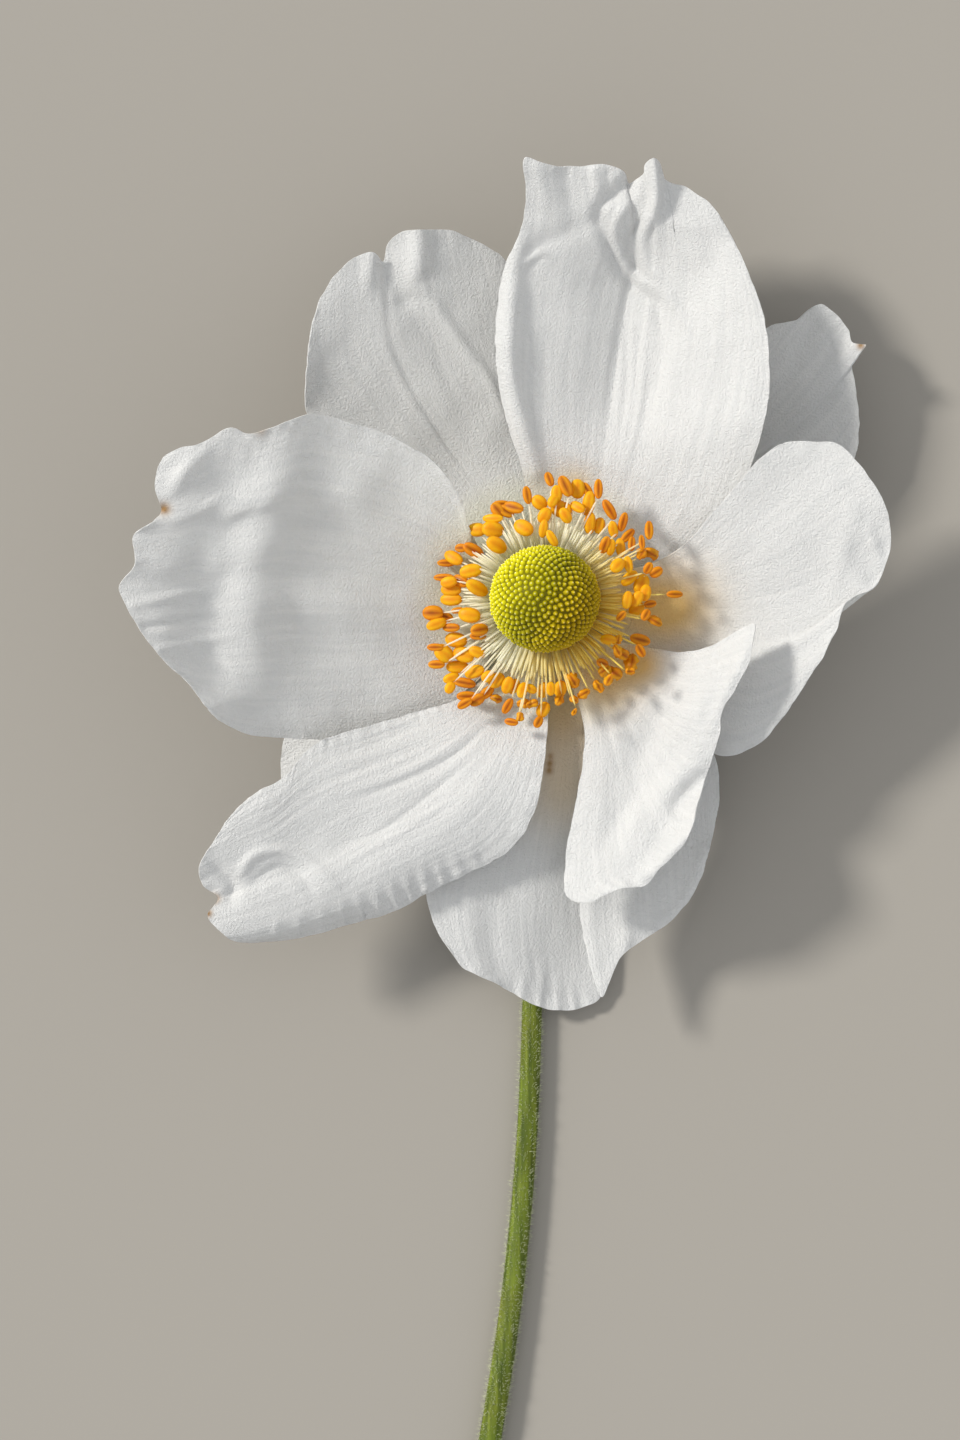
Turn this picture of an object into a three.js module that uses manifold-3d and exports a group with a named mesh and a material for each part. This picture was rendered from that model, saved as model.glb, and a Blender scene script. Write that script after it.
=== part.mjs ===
// Japanese anemone flower, cut from its plant and laid face up on a surface.
// Millimetres, +Z up. The flower's own axis is x = 0, y = 0 while it is put together, the
// surface is z = 0, and the stem runs along it towards -Y. At the end the whole flower is
// shifted so that its origin is the middle of the underside of its bounding box.
import * as THREE from 'three';
import { mergeVertices } from 'three/addons/utils/BufferGeometryUtils.js';
import Module from 'manifold-3d';

const wasm = await Module();
wasm.setup();

// ---------------------------------------------------------------- driving dimensions
const CARPEL_HEAD = { across: 9.0, along: 8.7, high: 8.6, centreHeight: 13.3 };

const STEM_AT_NECK = 0.72;        // radius just under the flower
const STEM_AT_CUT = 0.97;         // radius at the cut end
const STEM_SIDES = 10;
const BEND_RADIUS = 4.2;          // centreline of the bend that turns the flower face up

const RECEPTACLE_WAIST = 1.9;     // radius where the tepals are attached
const RECEPTACLE_RIM = 2.9;       // radius of the cushion that bears the stamens
const RECEPTACLE_TOP = 8.5;       // height of that cushion

const CLAW_DISTANCE = 2.25;       // from the flower's axis to the start of a tepal
const CLAW_WIDTH = 1.7;
const BLADE_THICKNESS = 0.4;
const STEPS_OUT = { least: 0.045, most: 0.12 };     // shares of a tepal's length
const STEPS_ACROSS = { least: 0.02, most: 0.09 };   // shares of its width

const STAMEN_SIDES = 5;
const FILAMENT_RADIUS = 0.11;
const FILAMENT_REACH = 4.9;       // from the cushion's rim to the middle of the anther
const FILAMENT_SPREAD = [5.3, 9.0];   // radius at the innermost and the outermost anthers
const LOWEST_ANTHER = 2.2;        // above the cushion
const RING_SLOPE = 0.08;          // the ring of stamens stands higher towards +X
const ANTHER = { length: 1.4, radius: 0.4 };

// An anther lies flatter than the end of its filament.
const ANTHER_LEVELLING = new THREE.Vector3(1, 1, 0.3);

const TEPAL_WHITE = new THREE.MeshStandardMaterial({ color: 0xf2f3f1, roughness: 0.55 });
const STEM_GREEN = new THREE.MeshStandardMaterial({ color: 0x6f8434, roughness: 0.7 });
const CARPEL_GREEN = new THREE.MeshStandardMaterial({ color: 0xa3b82c, roughness: 0.5 });
const ANTHER_ORANGE = new THREE.MeshStandardMaterial({ color: 0xf2a01d, roughness: 0.6 });

// ---------------------------------------------------------------- shared geometry
const flower = new THREE.Group();

function addPiece(name, geometry, material) {
  const piece = new THREE.Mesh(geometry, material);
  piece.name = name;
  flower.add(piece);
}

// A closed solid from points and triangles that already point outwards.
function closedSolid(points, triangles) {
  const geometry = new THREE.BufferGeometry().setFromPoints(points);
  geometry.setIndex(triangles.flat());
  return geometry;
}

// A round bar of changing radius along a route. Each station is [point, radius].
// `side` is any direction that is never along the route.
function taperedBar(stations, sides, side) {
  const points = [];
  const triangles = [];
  const last = stations.length - 1;
  stations.forEach(([centre, radius], i) => {
    const ahead = stations[Math.min(i + 1, last)][0];
    const behind = stations[Math.max(i - 1, 0)][0];
    const along = new THREE.Vector3().subVectors(ahead, behind).normalize();
    const across = new THREE.Vector3().crossVectors(side, along).normalize();
    const over = new THREE.Vector3().crossVectors(along, across);
    for (let k = 0; k < sides; k++) {
      const angle = (2 * Math.PI * (k + 0.5)) / sides;
      points.push(centre.clone()
        .addScaledVector(across, radius * Math.cos(angle))
        .addScaledVector(over, radius * Math.sin(angle)));
    }
  });
  for (let i = 0; i < last; i++) {
    for (let k = 0; k < sides; k++) {
      const a = i * sides + k;
      const b = i * sides + ((k + 1) % sides);
      triangles.push([a, b, b + sides], [a, b + sides, a + sides]);
    }
  }
  const first = points.push(stations[0][0].clone()) - 1;
  const end = points.push(stations[last][0].clone()) - 1;
  for (let k = 0; k < sides; k++) {
    const next = (k + 1) % sides;
    triangles.push([first, next, k], [end, last * sides + k, last * sides + next]);
  }
  return closedSolid(points, triangles);
}

function toManifold(geometry) {
  const bare = geometry.clone();
  bare.deleteAttribute('normal');
  bare.deleteAttribute('uv');
  const merged = mergeVertices(bare, 1e-4);
  return new wasm.Manifold(new wasm.Mesh({
    numProp: 3,
    vertProperties: new Float32Array(merged.attributes.position.array),
    triVerts: new Uint32Array(merged.index.array),
  }));
}

function fromManifold(solid) {
  const mesh = solid.getMesh();
  const geometry = new THREE.BufferGeometry();
  geometry.setAttribute('position', new THREE.BufferAttribute(mesh.vertProperties, 3));
  geometry.setIndex(new THREE.BufferAttribute(mesh.triVerts, 1));
  return geometry;
}

// ---------------------------------------------------------------- stem and receptacle
// The stalk lies on the surface from its cut end, bends up under the flower and swells into
// the receptacle: a waist for the tepals and a cushion above it for the stamens.
function stemRoute() {
  const lying = [
    [-7.1, -84.5], [-5.9, -78], [-4.4, -69.6], [-3.0, -60.8], [-2.1, -53.4],
    [-1.3, -43.7], [-0.9, -33.3], [-0.6, -22], [-0.3, -12],
  ];
  const radiusAt = (y) => THREE.MathUtils.mapLinear(y, -84.5, 0, STEM_AT_CUT, STEM_AT_NECK);
  const stations = lying.map(([x, y]) => [new THREE.Vector3(x, y, radiusAt(y)), radiusAt(y)]);
  const BEND_STEPS = 8;
  for (let i = 0; i <= BEND_STEPS; i++) {
    const turn = (Math.PI / 2) * (i / BEND_STEPS);
    stations.push([
      new THREE.Vector3(0, BEND_RADIUS * (Math.sin(turn) - 1),
        STEM_AT_NECK + BEND_RADIUS * (1 - Math.cos(turn))),
      STEM_AT_NECK,
    ]);
  }
  stations.push([new THREE.Vector3(0, 0, STEM_AT_NECK + BEND_RADIUS + 0.8), STEM_AT_NECK]);
  return stations;
}

function receptacle() {
  const foot = STEM_AT_NECK + BEND_RADIUS;
  const profile = [
    [0, foot], [STEM_AT_NECK * 0.9, foot], [RECEPTACLE_WAIST, foot + 1.0],
    [RECEPTACLE_WAIST, RECEPTACLE_TOP - 0.45], [RECEPTACLE_RIM, RECEPTACLE_TOP - 0.2],
    [RECEPTACLE_RIM - 0.2, RECEPTACLE_TOP], [0, RECEPTACLE_TOP],
  ];
  const lathe = new THREE.LatheGeometry(profile.map(([r, z]) => new THREE.Vector2(r, z)), 20);
  return lathe.rotateX(Math.PI / 2);
}

function stem() {
  const stalk = toManifold(taperedBar(stemRoute(), STEM_SIDES, new THREE.Vector3(1, 0, 0)));
  const geometry = fromManifold(stalk.add(toManifold(receptacle())));
  addPiece('stem', geometry, STEM_GREEN);
}

// ---------------------------------------------------------------- carpel head
function carpelHead() {
  const { across, along, high, centreHeight } = CARPEL_HEAD;
  const globe = new THREE.SphereGeometry(0.5, 20, 14);
  globe.rotateX(Math.PI / 2).scale(across, along, high).translate(0, 0, centreHeight);
  globe.deleteAttribute('normal');
  globe.deleteAttribute('uv');
  addPiece('carpel_head', mergeVertices(globe, 1e-4), CARPEL_GREEN);
}

// ---------------------------------------------------------------- tepals
// A tepal grows from a narrow claw at the receptacle and fans out to its margin.
//   facing     azimuth of the claw, degrees
//   floor      [distance from the claw, height]: how the middle of the blade runs outwards
//   grip       how close to the margin the blade leaves that floor for the margin's height
//   shoulders  the two places in the margin where its sides turn into its tip
//   margin     [x, y, z] around the blade, clockwise seen from above, from one side of the
//              claw to the other
//   folds      [width, [x, y, height]...]: broad ridges, or troughs where the height is negative
const TEPALS = {
  tepal_upper_left: {
    facing: 122, grip: 1.6, shoulders: [6, 18],
    floor: [[0, 6.2], [5, 3.7], [11, 2.7], [18, 4.7], [32, 7.8]],
    margin: [
      [-4.5, 3.7, 4.4], [-8.5, 6.4, 4.0], [-14.0, 9.6, 5.2], [-17.8, 12.9, 7.0],
      [-19.5, 15.5, 8.3], [-19.5, 18.1, 9.1], [-19.1, 21.7, 9.6], [-18.2, 24.8, 9.6],
      [-17.0, 26.6, 9.6], [-15.6, 27.9, 9.4], [-13.9, 28.4, 9.0], [-13.2, 27.7, 8.4],
      [-12.9, 29.0, 8.7], [-11.8, 30.1, 8.7], [-9.8, 30.3, 8.3], [-7.9, 30.4, 7.6],
      [-5.9, 29.7, 6.6], [-3.9, 28.7, 5.7], [-2.3, 26.7, 4.6], [-1.0, 23.1, 4.0],
      [-0.1, 18.6, 3.4], [0.6, 14.1, 2.8], [0.7, 9.6, 3.2], [0.3, 5.7, 4.6],
    ],
  },
  tepal_upper_right: {
    facing: 39, grip: 2, shoulders: [5, 15],
    floor: [[0, 6.2], [5, 3.6], [11, 1.6], [18, 2.2], [30, 4.2]],
    margin: [
      [3.1, 4.7, 4.8], [6.7, 8.4, 2.8], [10.9, 13.2, 3.2], [14.5, 17.8, 4.2], [17.0, 21.4, 5.0],
      [18.8, 22.7, 5.4], [20.8, 23.1, 5.6], [22.9, 24.4, 6.0], [24.0, 23.6, 5.9],
      [25.1, 22.3, 5.8], [25.4, 21.3, 5.8], [26.5, 21.0, 6.1], [25.4, 20.3, 5.6],
      [25.6, 18.3, 5.4], [26.0, 15.7, 5.0], [25.9, 12.6, 4.4], [24.9, 9.9, 3.8],
      [22.0, 7.6, 3.0], [17.6, 5.6, 2.4], [12.2, 3.9, 2.4], [7.6, 2.4, 3.4], [4.3, 1.5, 4.8],
    ],
  },
  tepal_left_under: {
    facing: 206, grip: 2, shoulders: [4, 9],
    floor: [[0, 6.2], [5, 5.2], [11, 5.2], [17, 4.8], [24, 1.6]],
    margin: [
      [-2.8, -4.2, 4.6], [-5.4, -8.8, 3.4], [-9.2, -13.2, 2.4], [-13.5, -16.5, 1.6],
      [-17.2, -17.6, 1.2], [-20.1, -17.2, 1.0], [-21.5, -15.6, 1.1], [-21.8, -13.5, 1.3],
      [-21.4, -11.1, 1.9], [-20.1, -8.6, 2.6], [-17.2, -6.4, 3.1], [-13.1, -4.5, 3.4],
      [-8.5, -2.5, 3.8], [-4.8, -0.9, 4.8],
    ],
  },
  tepal_bottom: {
    facing: 264, grip: 1.6, shoulders: [6, 14],
    floor: [[0, 6.2], [4, 6.7], [12, 7.8], [20, 5.8], [32, 2.2]],
    margin: [
      [2.0, -4.6, 6.2], [4.0, -8.6, 6.3], [4.6, -12.9, 6.1], [4.8, -18.0, 4.5],
      [4.7, -23.1, 2.9], [4.9, -28.1, 1.6], [5.1, -31.5, 1.2], [4.7, -33.0, 1.1],
      [3.4, -33.7, 1.1], [1.3, -34.0, 1.5], [-0.7, -33.5, 2.4], [-2.8, -32.3, 3.0],
      [-4.8, -31.2, 4.4], [-6.5, -30.4, 4.9], [-7.7, -28.8, 5.4], [-8.8, -27.2, 5.7],
      [-9.4, -25.5, 5.9], [-9.7, -23.7, 5.9], [-9.3, -21.1, 5.7], [-8.1, -17.6, 5.4],
      [-6.3, -14.2, 5.1], [-4.2, -10.8, 5.0], [-2.2, -6.4, 5.2],
    ],
  },
  tepal_lower_right_under: {
    facing: 320, grip: 2, shoulders: [6, 14],
    floor: [[0, 6.3], [5, 6.7], [12, 6.2], [20, 5], [30, 5.6]],
    margin: [
      [4.6, -3.2, 5.6], [8.0, -5.6, 5.0], [11.1, -8.2, 4.7], [13.3, -11.1, 4.5],
      [14.4, -13.8, 4.4], [14.5, -16.2, 4.4], [13.9, -19.5, 4.4], [12.9, -23.0, 4.5],
      [11.8, -25.0, 4.7], [10.2, -26.7, 4.9], [7.9, -28.1, 5.2], [6.3, -29.4, 5.6],
      [5.5, -31.2, 6.0], [4.8, -32.6, 6.3], [4.1, -31.0, 6.2], [3.5, -28.7, 6.1],
      [3.0, -25.8, 6.0], [3.1, -23.0, 6.2], [3.6, -19.3, 6.7], [4.1, -15.2, 7.6],
      [4.2, -11.1, 7.7], [3.2, -6.4, 7.2],
    ],
  },
  tepal_top: {
    facing: 80, grip: 1.5, shoulders: [8, 22],
    floor: [[0, 7.1], [6, 6.6], [14, 7.2], [22, 8.4], [36, 12.2]],
    margin: [
      [-1.0, 5.0, 7.0], [-1.8, 10.7, 8.0], [-3.1, 14.7, 9.0], [-3.9, 19.1, 9.7],
      [-3.9, 23.1, 10.1], [-3.2, 27.2, 10.5], [-2.0, 29.9, 11.2], [-1.5, 32.7, 12.4],
      [-1.5, 35.7, 13.8], [0.3, 35.2, 13.4], [2.4, 35.1, 12.8], [4.9, 35.3, 12.8],
      [6.5, 34.7, 12.4], [6.9, 33.9, 11.8], [7.5, 34.2, 12.4], [8.1, 34.6, 12.8],
      [8.2, 35.3, 13.2], [8.8, 35.7, 13.3], [9.4, 35.3, 13.2], [9.5, 34.4, 12.9],
      [11.4, 33.6, 12.4], [13.5, 32.2, 12.2], [15.3, 29.3, 12.0], [16.9, 25.9, 11.9],
      [18.0, 22.3, 11.7], [18.3, 19.5, 11.3], [18.3, 16.7, 11.0], [17.6, 13.2, 10.6],
      [16.5, 9.8, 9.9], [14.6, 5.8, 8.4], [10.8, 2.4, 7.1], [6.4, 1.4, 6.0],
    ],
    folds: [
      [5.2, [[9.2, 31, -1], [8.4, 27, -2.5], [7.6, 22, -2.8], [6.4, 16, -2], [5, 11, -0.4]]],
      [2.6, [[1.8, 26, 0.23], [2.2, 23, 0.14]]],
    ],
  },
  tepal_left: {
    facing: 178, grip: 1.8, shoulders: [6, 16],
    floor: [[0, 7.1], [6, 7.9], [13, 11], [20, 14.1], [33, 19.6]],
    margin: [
      [-3.4, -3.4, 6.4], [-6.4, -7.4, 6.2], [-11.2, -10.3, 6.6], [-15.9, -11.3, 7.7],
      [-21.3, -11.3, 9.7], [-24.7, -10.8, 12.0], [-27.1, -9.2, 14.2], [-28.6, -7.1, 15.8],
      [-31.0, -4.7, 17.4], [-32.9, -2.0, 18.6], [-34.1, 0.9, 19.2], [-32.9, 2.7, 19.4],
      [-33.0, 4.9, 19.6], [-31.4, 6.1, 19.4], [-30.8, 7.0, 19.0], [-31.3, 8.6, 19.2],
      [-30.6, 11.2, 19.4], [-27.3, 12.5, 19.2], [-25.0, 13.6, 19.2], [-24.1, 13.2, 18.8],
      [-21.9, 13.7, 17.5], [-18.8, 14.8, 16.3], [-15.7, 14.2, 14.9], [-11.7, 12.8, 13.4],
      [-8.9, 11.0, 12.7], [-6.9, 8.4, 11.3], [-6.0, 5.6, 9.8], [-4.6, 3.2, 8.0],
    ],
    folds: [
      [2.6, [[-21.1, 13.5, 0.5], [-21.8, 9, 1], [-22.6, 6, 1], [-23.5, 2, 1], [-23.9, -1.5, 0.9],
        [-23.6, -6, 0.5], [-23, -9, 0]]],
      [2.6, [[-24.6, 12.8, -0.4], [-25, 9, -0.9], [-25.7, 6, -0.9], [-26.6, 2, -0.9],
        [-27, -1.5, -0.8], [-26.9, -6, -0.5], [-26, -8.5, 0]]],
      [2.4, [[-15.5, 8.5, 0.38], [-13.6, 4.5, 0.3], [-12, 1.5, 0]]],
    ],
  },
  tepal_lower_left: {
    facing: 232, grip: 2, shoulders: [11, 18],
    floor: [[0, 7.5], [6, 7.9], [14, 8.9], [24, 10.2], [36, 11.6]],
    margin: [
      [-0.2, -4.6, 7.8], [0.3, -7.6, 8.4], [0.2, -11.5, 9.0], [-0.2, -14.8, 9.2],
      [-1.1, -18.0, 8.5], [-3.2, -20.8, 7.5], [-6.1, -22.3, 7.2], [-9.5, -24.0, 7.1],
      [-12.2, -25.5, 6.9], [-16.3, -26.7, 6.9], [-19.9, -27.7, 7.4], [-23.6, -28.0, 8.4],
      [-26.0, -27.5, 10.8], [-27.4, -25.6, 11.5], [-26.6, -24.4, 11.1], [-27.8, -23.3, 11.8],
      [-28.1, -21.8, 12.4], [-26.9, -19.7, 12.6], [-25.4, -17.5, 12.4], [-23.3, -15.6, 12.0],
      [-21.2, -14.5, 11.5], [-19.7, -12.7, 11.0], [-18.3, -11.6, 10.4], [-14.6, -10.4, 9.4],
      [-10.6, -9.2, 8.7], [-6.9, -8.0, 8.4], [-4.0, -5.2, 8.0],
    ],
    folds: [
      [2.4, [[-3.4, -13.4, 0.4], [-7.2, -17.6, 0.5], [-12, -21, 0.6], [-17, -22.8, 0.6]]],
    ],
  },
  tepal_right: {
    facing: 0, grip: 2, shoulders: [6, 19],
    floor: [[0, 7.4], [6, 7.2], [12, 8], [20, 10], [28, 12.5]],
    margin: [
      [5.0, 2.2, 7.2], [8.7, 2.9, 8.0], [11.2, 4.3, 9.0], [13.7, 7.0, 10.2], [16.0, 9.7, 11.3],
      [17.5, 11.4, 11.9], [19.6, 12.7, 12.2], [21.5, 12.8, 12.3], [23.8, 12.6, 12.5],
      [25.2, 11.4, 12.6], [26.4, 9.8, 12.6], [27.7, 7.6, 12.4], [28.2, 4.8, 11.8],
      [27.7, 2.5, 11.4], [27.1, 1.2, 11.2], [24.6, -0.3, 11.2], [24.0, -1.9, 11.0],
      [23.0, -4.1, 10.8], [21.4, -6.8, 10.2], [19.7, -9.3, 9.6], [17.4, -11.9, 9.0],
      [14.6, -12.8, 8.4], [12.0, -11.1, 7.6], [9.5, -8.4, 6.9], [7.2, -5.2, 6.6],
      [4.8, -2.8, 6.8],
    ],
    folds: [
      [3, [[16, 4, 0.24], [20, 5, 0.24]]],
    ],
  },
  tepal_lower_right: {
    facing: 300, grip: 1.8, shoulders: [6, 21],
    floor: [[0, 7.6], [6, 7.9], [12, 8.4], [18, 8.7], [26, 9.6]],
    margin: [
      [4.6, -2.8, 8.0], [6.6, -3.5, 8.3], [9.0, -4.0, 9.1], [11.5, -4.3, 10.0],
      [13.6, -3.8, 11.0], [15.5, -2.7, 11.9], [17.1, -2.1, 12.5], [17.0, -3.2, 12.7],
      [16.6, -5.0, 13.0], [15.5, -7.3, 12.7], [14.5, -8.9, 12.4], [14.2, -11.1, 11.9],
      [13.7, -12.9, 11.4], [13.0, -15.1, 11.4], [12.4, -17.0, 11.5], [12.2, -18.0, 11.6],
      [11.2, -20.1, 11.5], [9.5, -21.8, 11.2], [8.2, -23.3, 10.9], [6.3, -23.6, 10.7],
      [4.5, -24.3, 10.4], [3.3, -24.8, 10.2], [1.9, -24.3, 9.9], [1.7, -22.0, 9.6],
      [2.2, -18.4, 9.3], [3.0, -14.4, 8.9], [3.3, -10.7, 8.7], [2.0, -6.4, 8.2],
    ],
  },
};

// Height of a floor at a distance, eased between its stations.
function floorHeight(floor, distance) {
  const last = floor.length - 1;
  let i = 0;
  while (i < last - 1 && distance > floor[i + 1][0]) i++;
  const [d0, z0] = floor[i];
  const [d1, z1] = floor[i + 1];
  const slopeAt = (k) => {
    const before = floor[Math.max(k - 1, 0)];
    const after = floor[Math.min(k + 1, last)];
    return (after[1] - before[1]) / (after[0] - before[0]);
  };
  const span = d1 - d0;
  const u = Math.min((distance - d0) / span, 1);
  const beyond = Math.max(distance - d1, 0);
  const hermite = z0 * (1 + 2 * u) * (1 - u) ** 2 + z1 * u * u * (3 - 2 * u)
    + span * (slopeAt(i) * u * (1 - u) ** 2 - slopeAt(i + 1) * u * u * (1 - u));
  return hermite + beyond * slopeAt(last);
}

// How far a broad ridge or trough lifts the blade at a place.
function foldHeight(x, y, [width, path]) {
  let nearest = Infinity;
  let height = 0;
  for (let i = 0; i + 1 < path.length; i++) {
    const [x0, y0, h0] = path[i];
    const [x1, y1, h1] = path[i + 1];
    const [dx, dy] = [x1 - x0, y1 - y0];
    const along = ((x - x0) * dx + (y - y0) * dy) / (dx * dx + dy * dy);
    const u = THREE.MathUtils.clamp(along, 0, 1);
    const away = Math.hypot(x - x0 - u * dx, y - y0 - u * dy);
    if (away < nearest) {
      nearest = away;
      height = h0 + (h1 - h0) * u;
    }
  }
  return height * Math.exp(-((nearest / width) ** 2));
}

// Shares from 0 to 1 that take in the given ones, with no two closer than `least` and none
// further apart than `most`.
function evenedShares(wanted, { least, most }) {
  const kept = [0];
  const candidates = [...wanted].sort((a, b) => a - b);
  for (const share of candidates) {
    if (share - kept[kept.length - 1] >= least && 1 - share >= least) kept.push(share);
  }
  kept.push(1);
  const filled = [0];
  for (let i = 1; i < kept.length; i++) {
    const parts = Math.ceil((kept[i] - kept[i - 1]) / most);
    for (let k = 1; k <= parts; k++) {
      filled.push(THREE.MathUtils.lerp(kept[i - 1], kept[i], k / parts));
    }
  }
  return filled;
}

// The blade's middle surface, stretched between its two sides, its tip and its claw: one
// column of points from the claw outwards for each share of the way across.
function tepalColumns({ facing, floor, grip, shoulders, margin, folds = [] }) {
  const azimuth = THREE.MathUtils.degToRad(facing);
  const claw = new THREE.Vector3(Math.cos(azimuth), Math.sin(azimuth), 0)
    .multiplyScalar(CLAW_DISTANCE);
  const halfClaw = new THREE.Vector3(Math.sin(azimuth), -Math.cos(azimuth), 0)
    .multiplyScalar(CLAW_WIDTH / 2);
  const rim = [claw.clone().sub(halfClaw), ...margin.map((p) => new THREE.Vector3(...p)),
    claw.clone().add(halfClaw)];
  rim[0].z = floor[0][1];
  rim[rim.length - 1].z = floor[0][1];
  const reached = [0];
  for (let i = 1; i < rim.length; i++) reached.push(reached[i - 1] + rim[i].distanceTo(rim[i - 1]));
  const shares = reached.map((length) => length / reached[reached.length - 1]);
  const rimAt = (share) => {
    let i = 0;
    while (i < rim.length - 2 && share > shares[i + 1]) i++;
    return rim[i].clone().lerp(rim[i + 1], (share - shares[i]) / (shares[i + 1] - shares[i]));
  };
  const lift = (p) => p.z - floorHeight(floor, Math.hypot(p.x - claw.x, p.y - claw.y));

  const [first, last] = shoulders.map((k) => shares[k + 1]);
  const outwards = evenedShares([
    ...shares.filter((s) => s < first).map((s) => s / first),
    ...shares.filter((s) => s > last).map((s) => (1 - s) / (1 - last)),
  ], STEPS_OUT);
  const across = evenedShares(
    shares.filter((s) => s > first && s < last).map((s) => (s - first) / (last - first)),
    STEPS_ACROSS,
  );
  const [corner0, corner1] = [rimAt(first), rimAt(last)];
  return across.map((u) => outwards.map((v) => {
    const left = rimAt(first * v);
    const right = rimAt(1 - (1 - last) * v);
    const tip = rimAt(first + (last - first) * u);
    const inPlan = (axis) => left[axis] * (1 - u) + right[axis] * u
      + (tip[axis] - corner0[axis] * (1 - u) - corner1[axis] * u) * v;
    const x = inPlan('x');
    const y = inPlan('y');
    const [byLeft, byRight, byTip] = [(1 - u) ** grip, u ** grip, v ** grip];
    const lifted = lift(left) * byLeft + lift(right) * byRight
      + (lift(tip) - lift(corner0) * byLeft - lift(corner1) * byRight) * byTip
      - (lift(rim[0]) * byLeft + lift(rim[rim.length - 1]) * byRight) * (1 - byTip);
    const folded = folds.reduce((sum, fold) => sum + foldHeight(x, y, fold), 0);
    const middle = floorHeight(floor, Math.hypot(x - claw.x, y - claw.y));
    return new THREE.Vector3(x, y, middle + lifted + folded);
  }));
}

// Thickens a surface given as columns of points, half to each side, and closes its rim.
function sheetSolid(columns, thickness) {
  const rows = columns[0].length;
  const inside = (k, count) => THREE.MathUtils.clamp(k, 0, count - 1);
  const at = (i, j) => columns[inside(i, columns.length)][inside(j, rows)];
  const upper = [];
  const lower = [];
  columns.forEach((column, i) => column.forEach((point, j) => {
    const acrossIt = new THREE.Vector3().subVectors(at(i + 1, j), at(i - 1, j));
    const alongIt = new THREE.Vector3().subVectors(at(i, j + 1), at(i, j - 1));
    const normal = new THREE.Vector3().crossVectors(acrossIt, alongIt).normalize();
    upper.push(point.clone().addScaledVector(normal, thickness / 2));
    lower.push(point.clone().addScaledVector(normal, -thickness / 2));
  }));
  const below = upper.length;
  const triangles = [];
  const quad = (a, b, c, d) => triangles.push([a, b, c], [a, c, d]);
  const index = (i, j) => i * rows + j;
  const under = (i, j) => below + index(i, j);
  for (let i = 0; i < columns.length - 1; i++) {
    for (let j = 0; j < rows - 1; j++) {
      quad(index(i, j), index(i + 1, j), index(i + 1, j + 1), index(i, j + 1));
      quad(under(i, j), under(i, j + 1), under(i + 1, j + 1), under(i + 1, j));
    }
  }
  const rim = [];
  for (let i = 0; i < columns.length - 1; i++) rim.push(index(i, 0));
  for (let j = 0; j < rows - 1; j++) rim.push(index(columns.length - 1, j));
  for (let i = columns.length - 1; i > 0; i--) rim.push(index(i, rows - 1));
  for (let j = rows - 1; j > 0; j--) rim.push(index(0, j));
  rim.forEach((a, k) => {
    const b = rim[(k + 1) % rim.length];
    quad(a, below + a, below + b, b);
  });
  return closedSolid([...upper, ...lower], triangles);
}

function tepals() {
  for (const [name, shape] of Object.entries(TEPALS)) {
    addPiece(name, sheetSolid(tepalColumns(shape), BLADE_THICKNESS), TEPAL_WHITE);
  }
}

// ---------------------------------------------------------------- stamens
// Where the middle of each anther stands, [x, y], anticlockwise from +X.
const ANTHER_PLACES = [
  [10.6, 0.4], [7.9, 1.2], [9.1, 2.2], [8.7, 3.7], [6.2, 4.2], [4.9, 4.4], [5.6, 5.7],
  [5.3, 7.3], [3.7, 6.2], [3.6, 7.8], [2.7, 9.0], [1.2, 7.4], [0.4, 9.8], [-0.4, 7.9],
  [-1.7, 5.8], [-3.8, 7.3], [-4.2, 5.7], [-3.9, 4.4], [-5.8, 4.0], [-7.4, 3.4], [-6.0, 2.3],
  [-8.2, 1.8], [-5.5, 0.9], [-7.6, 0], [-9.1, -1.1], [-6.1, -1.3], [-7.6, -2.3], [-5.3, -2.5],
  [-8.2, -4.4], [-6.6, -4.5], [-5.5, -4.3], [-5.7, -5.9], [-6.3, -7.9], [-3.9, -6.6],
  [-2.5, -7.1], [-1.7, -8.5], [-0.1, -9.0], [2.3, -6.6], [4.4, -7.1], [5.7, -6.0], [7.1, -5.2],
  [5.2, -3.3], [7.8, -3.3], [9.0, -1.8], [7.5, -0.8],
];

// Each filament starts at the receptacle's cushion, comes out under the carpel head and
// rises to its anther. They are about equally long, so the inner ones stand higher.
function stamenStations([x, y]) {
  const radius = Math.hypot(x, y);
  const azimuth = Math.atan2(y, x);
  const [innermost, outermost] = FILAMENT_SPREAD;
  const spread = THREE.MathUtils.smoothstep(radius, innermost, outermost);
  const between = (inner, outer) => {
    const [r, z] = inner.map((value, i) => THREE.MathUtils.lerp(value, outer[i], spread));
    return new THREE.Vector3(r * Math.cos(azimuth), r * Math.sin(azimuth), z);
  };
  const start = between([2.35, 8.85], [3.05, 8.8]);
  const rise = between([5.1, 12.2], [6.0, 12.2]);
  const out = radius - RECEPTACLE_RIM;
  const up = Math.max(Math.sqrt(Math.max(FILAMENT_REACH ** 2 - out ** 2, 0)), LOWEST_ANTHER);
  const middle = new THREE.Vector3(x, y, RECEPTACLE_TOP + up + RING_SLOPE * x);
  const along = middle.clone().sub(rise).multiply(ANTHER_LEVELLING).normalize();
  const neck = middle.clone().addScaledVector(along, -ANTHER.length / 2);
  const filament = new THREE.QuadraticBezierCurve3(start, rise, neck);
  const stations = [0, 0.35, 0.68, 1].map((t) => [filament.getPoint(t), FILAMENT_RADIUS]);
  const antherShape = [[0.12, 0.75], [0.5, 1], [0.82, 0.8], [1, 0.3]];
  for (const [u, fullness] of antherShape) {
    const centre = neck.clone().addScaledVector(along, u * ANTHER.length);
    stations.push([centre, fullness * ANTHER.radius]);
  }
  return { stations, side: new THREE.Vector3(-Math.sin(azimuth), Math.cos(azimuth), 0) };
}

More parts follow.
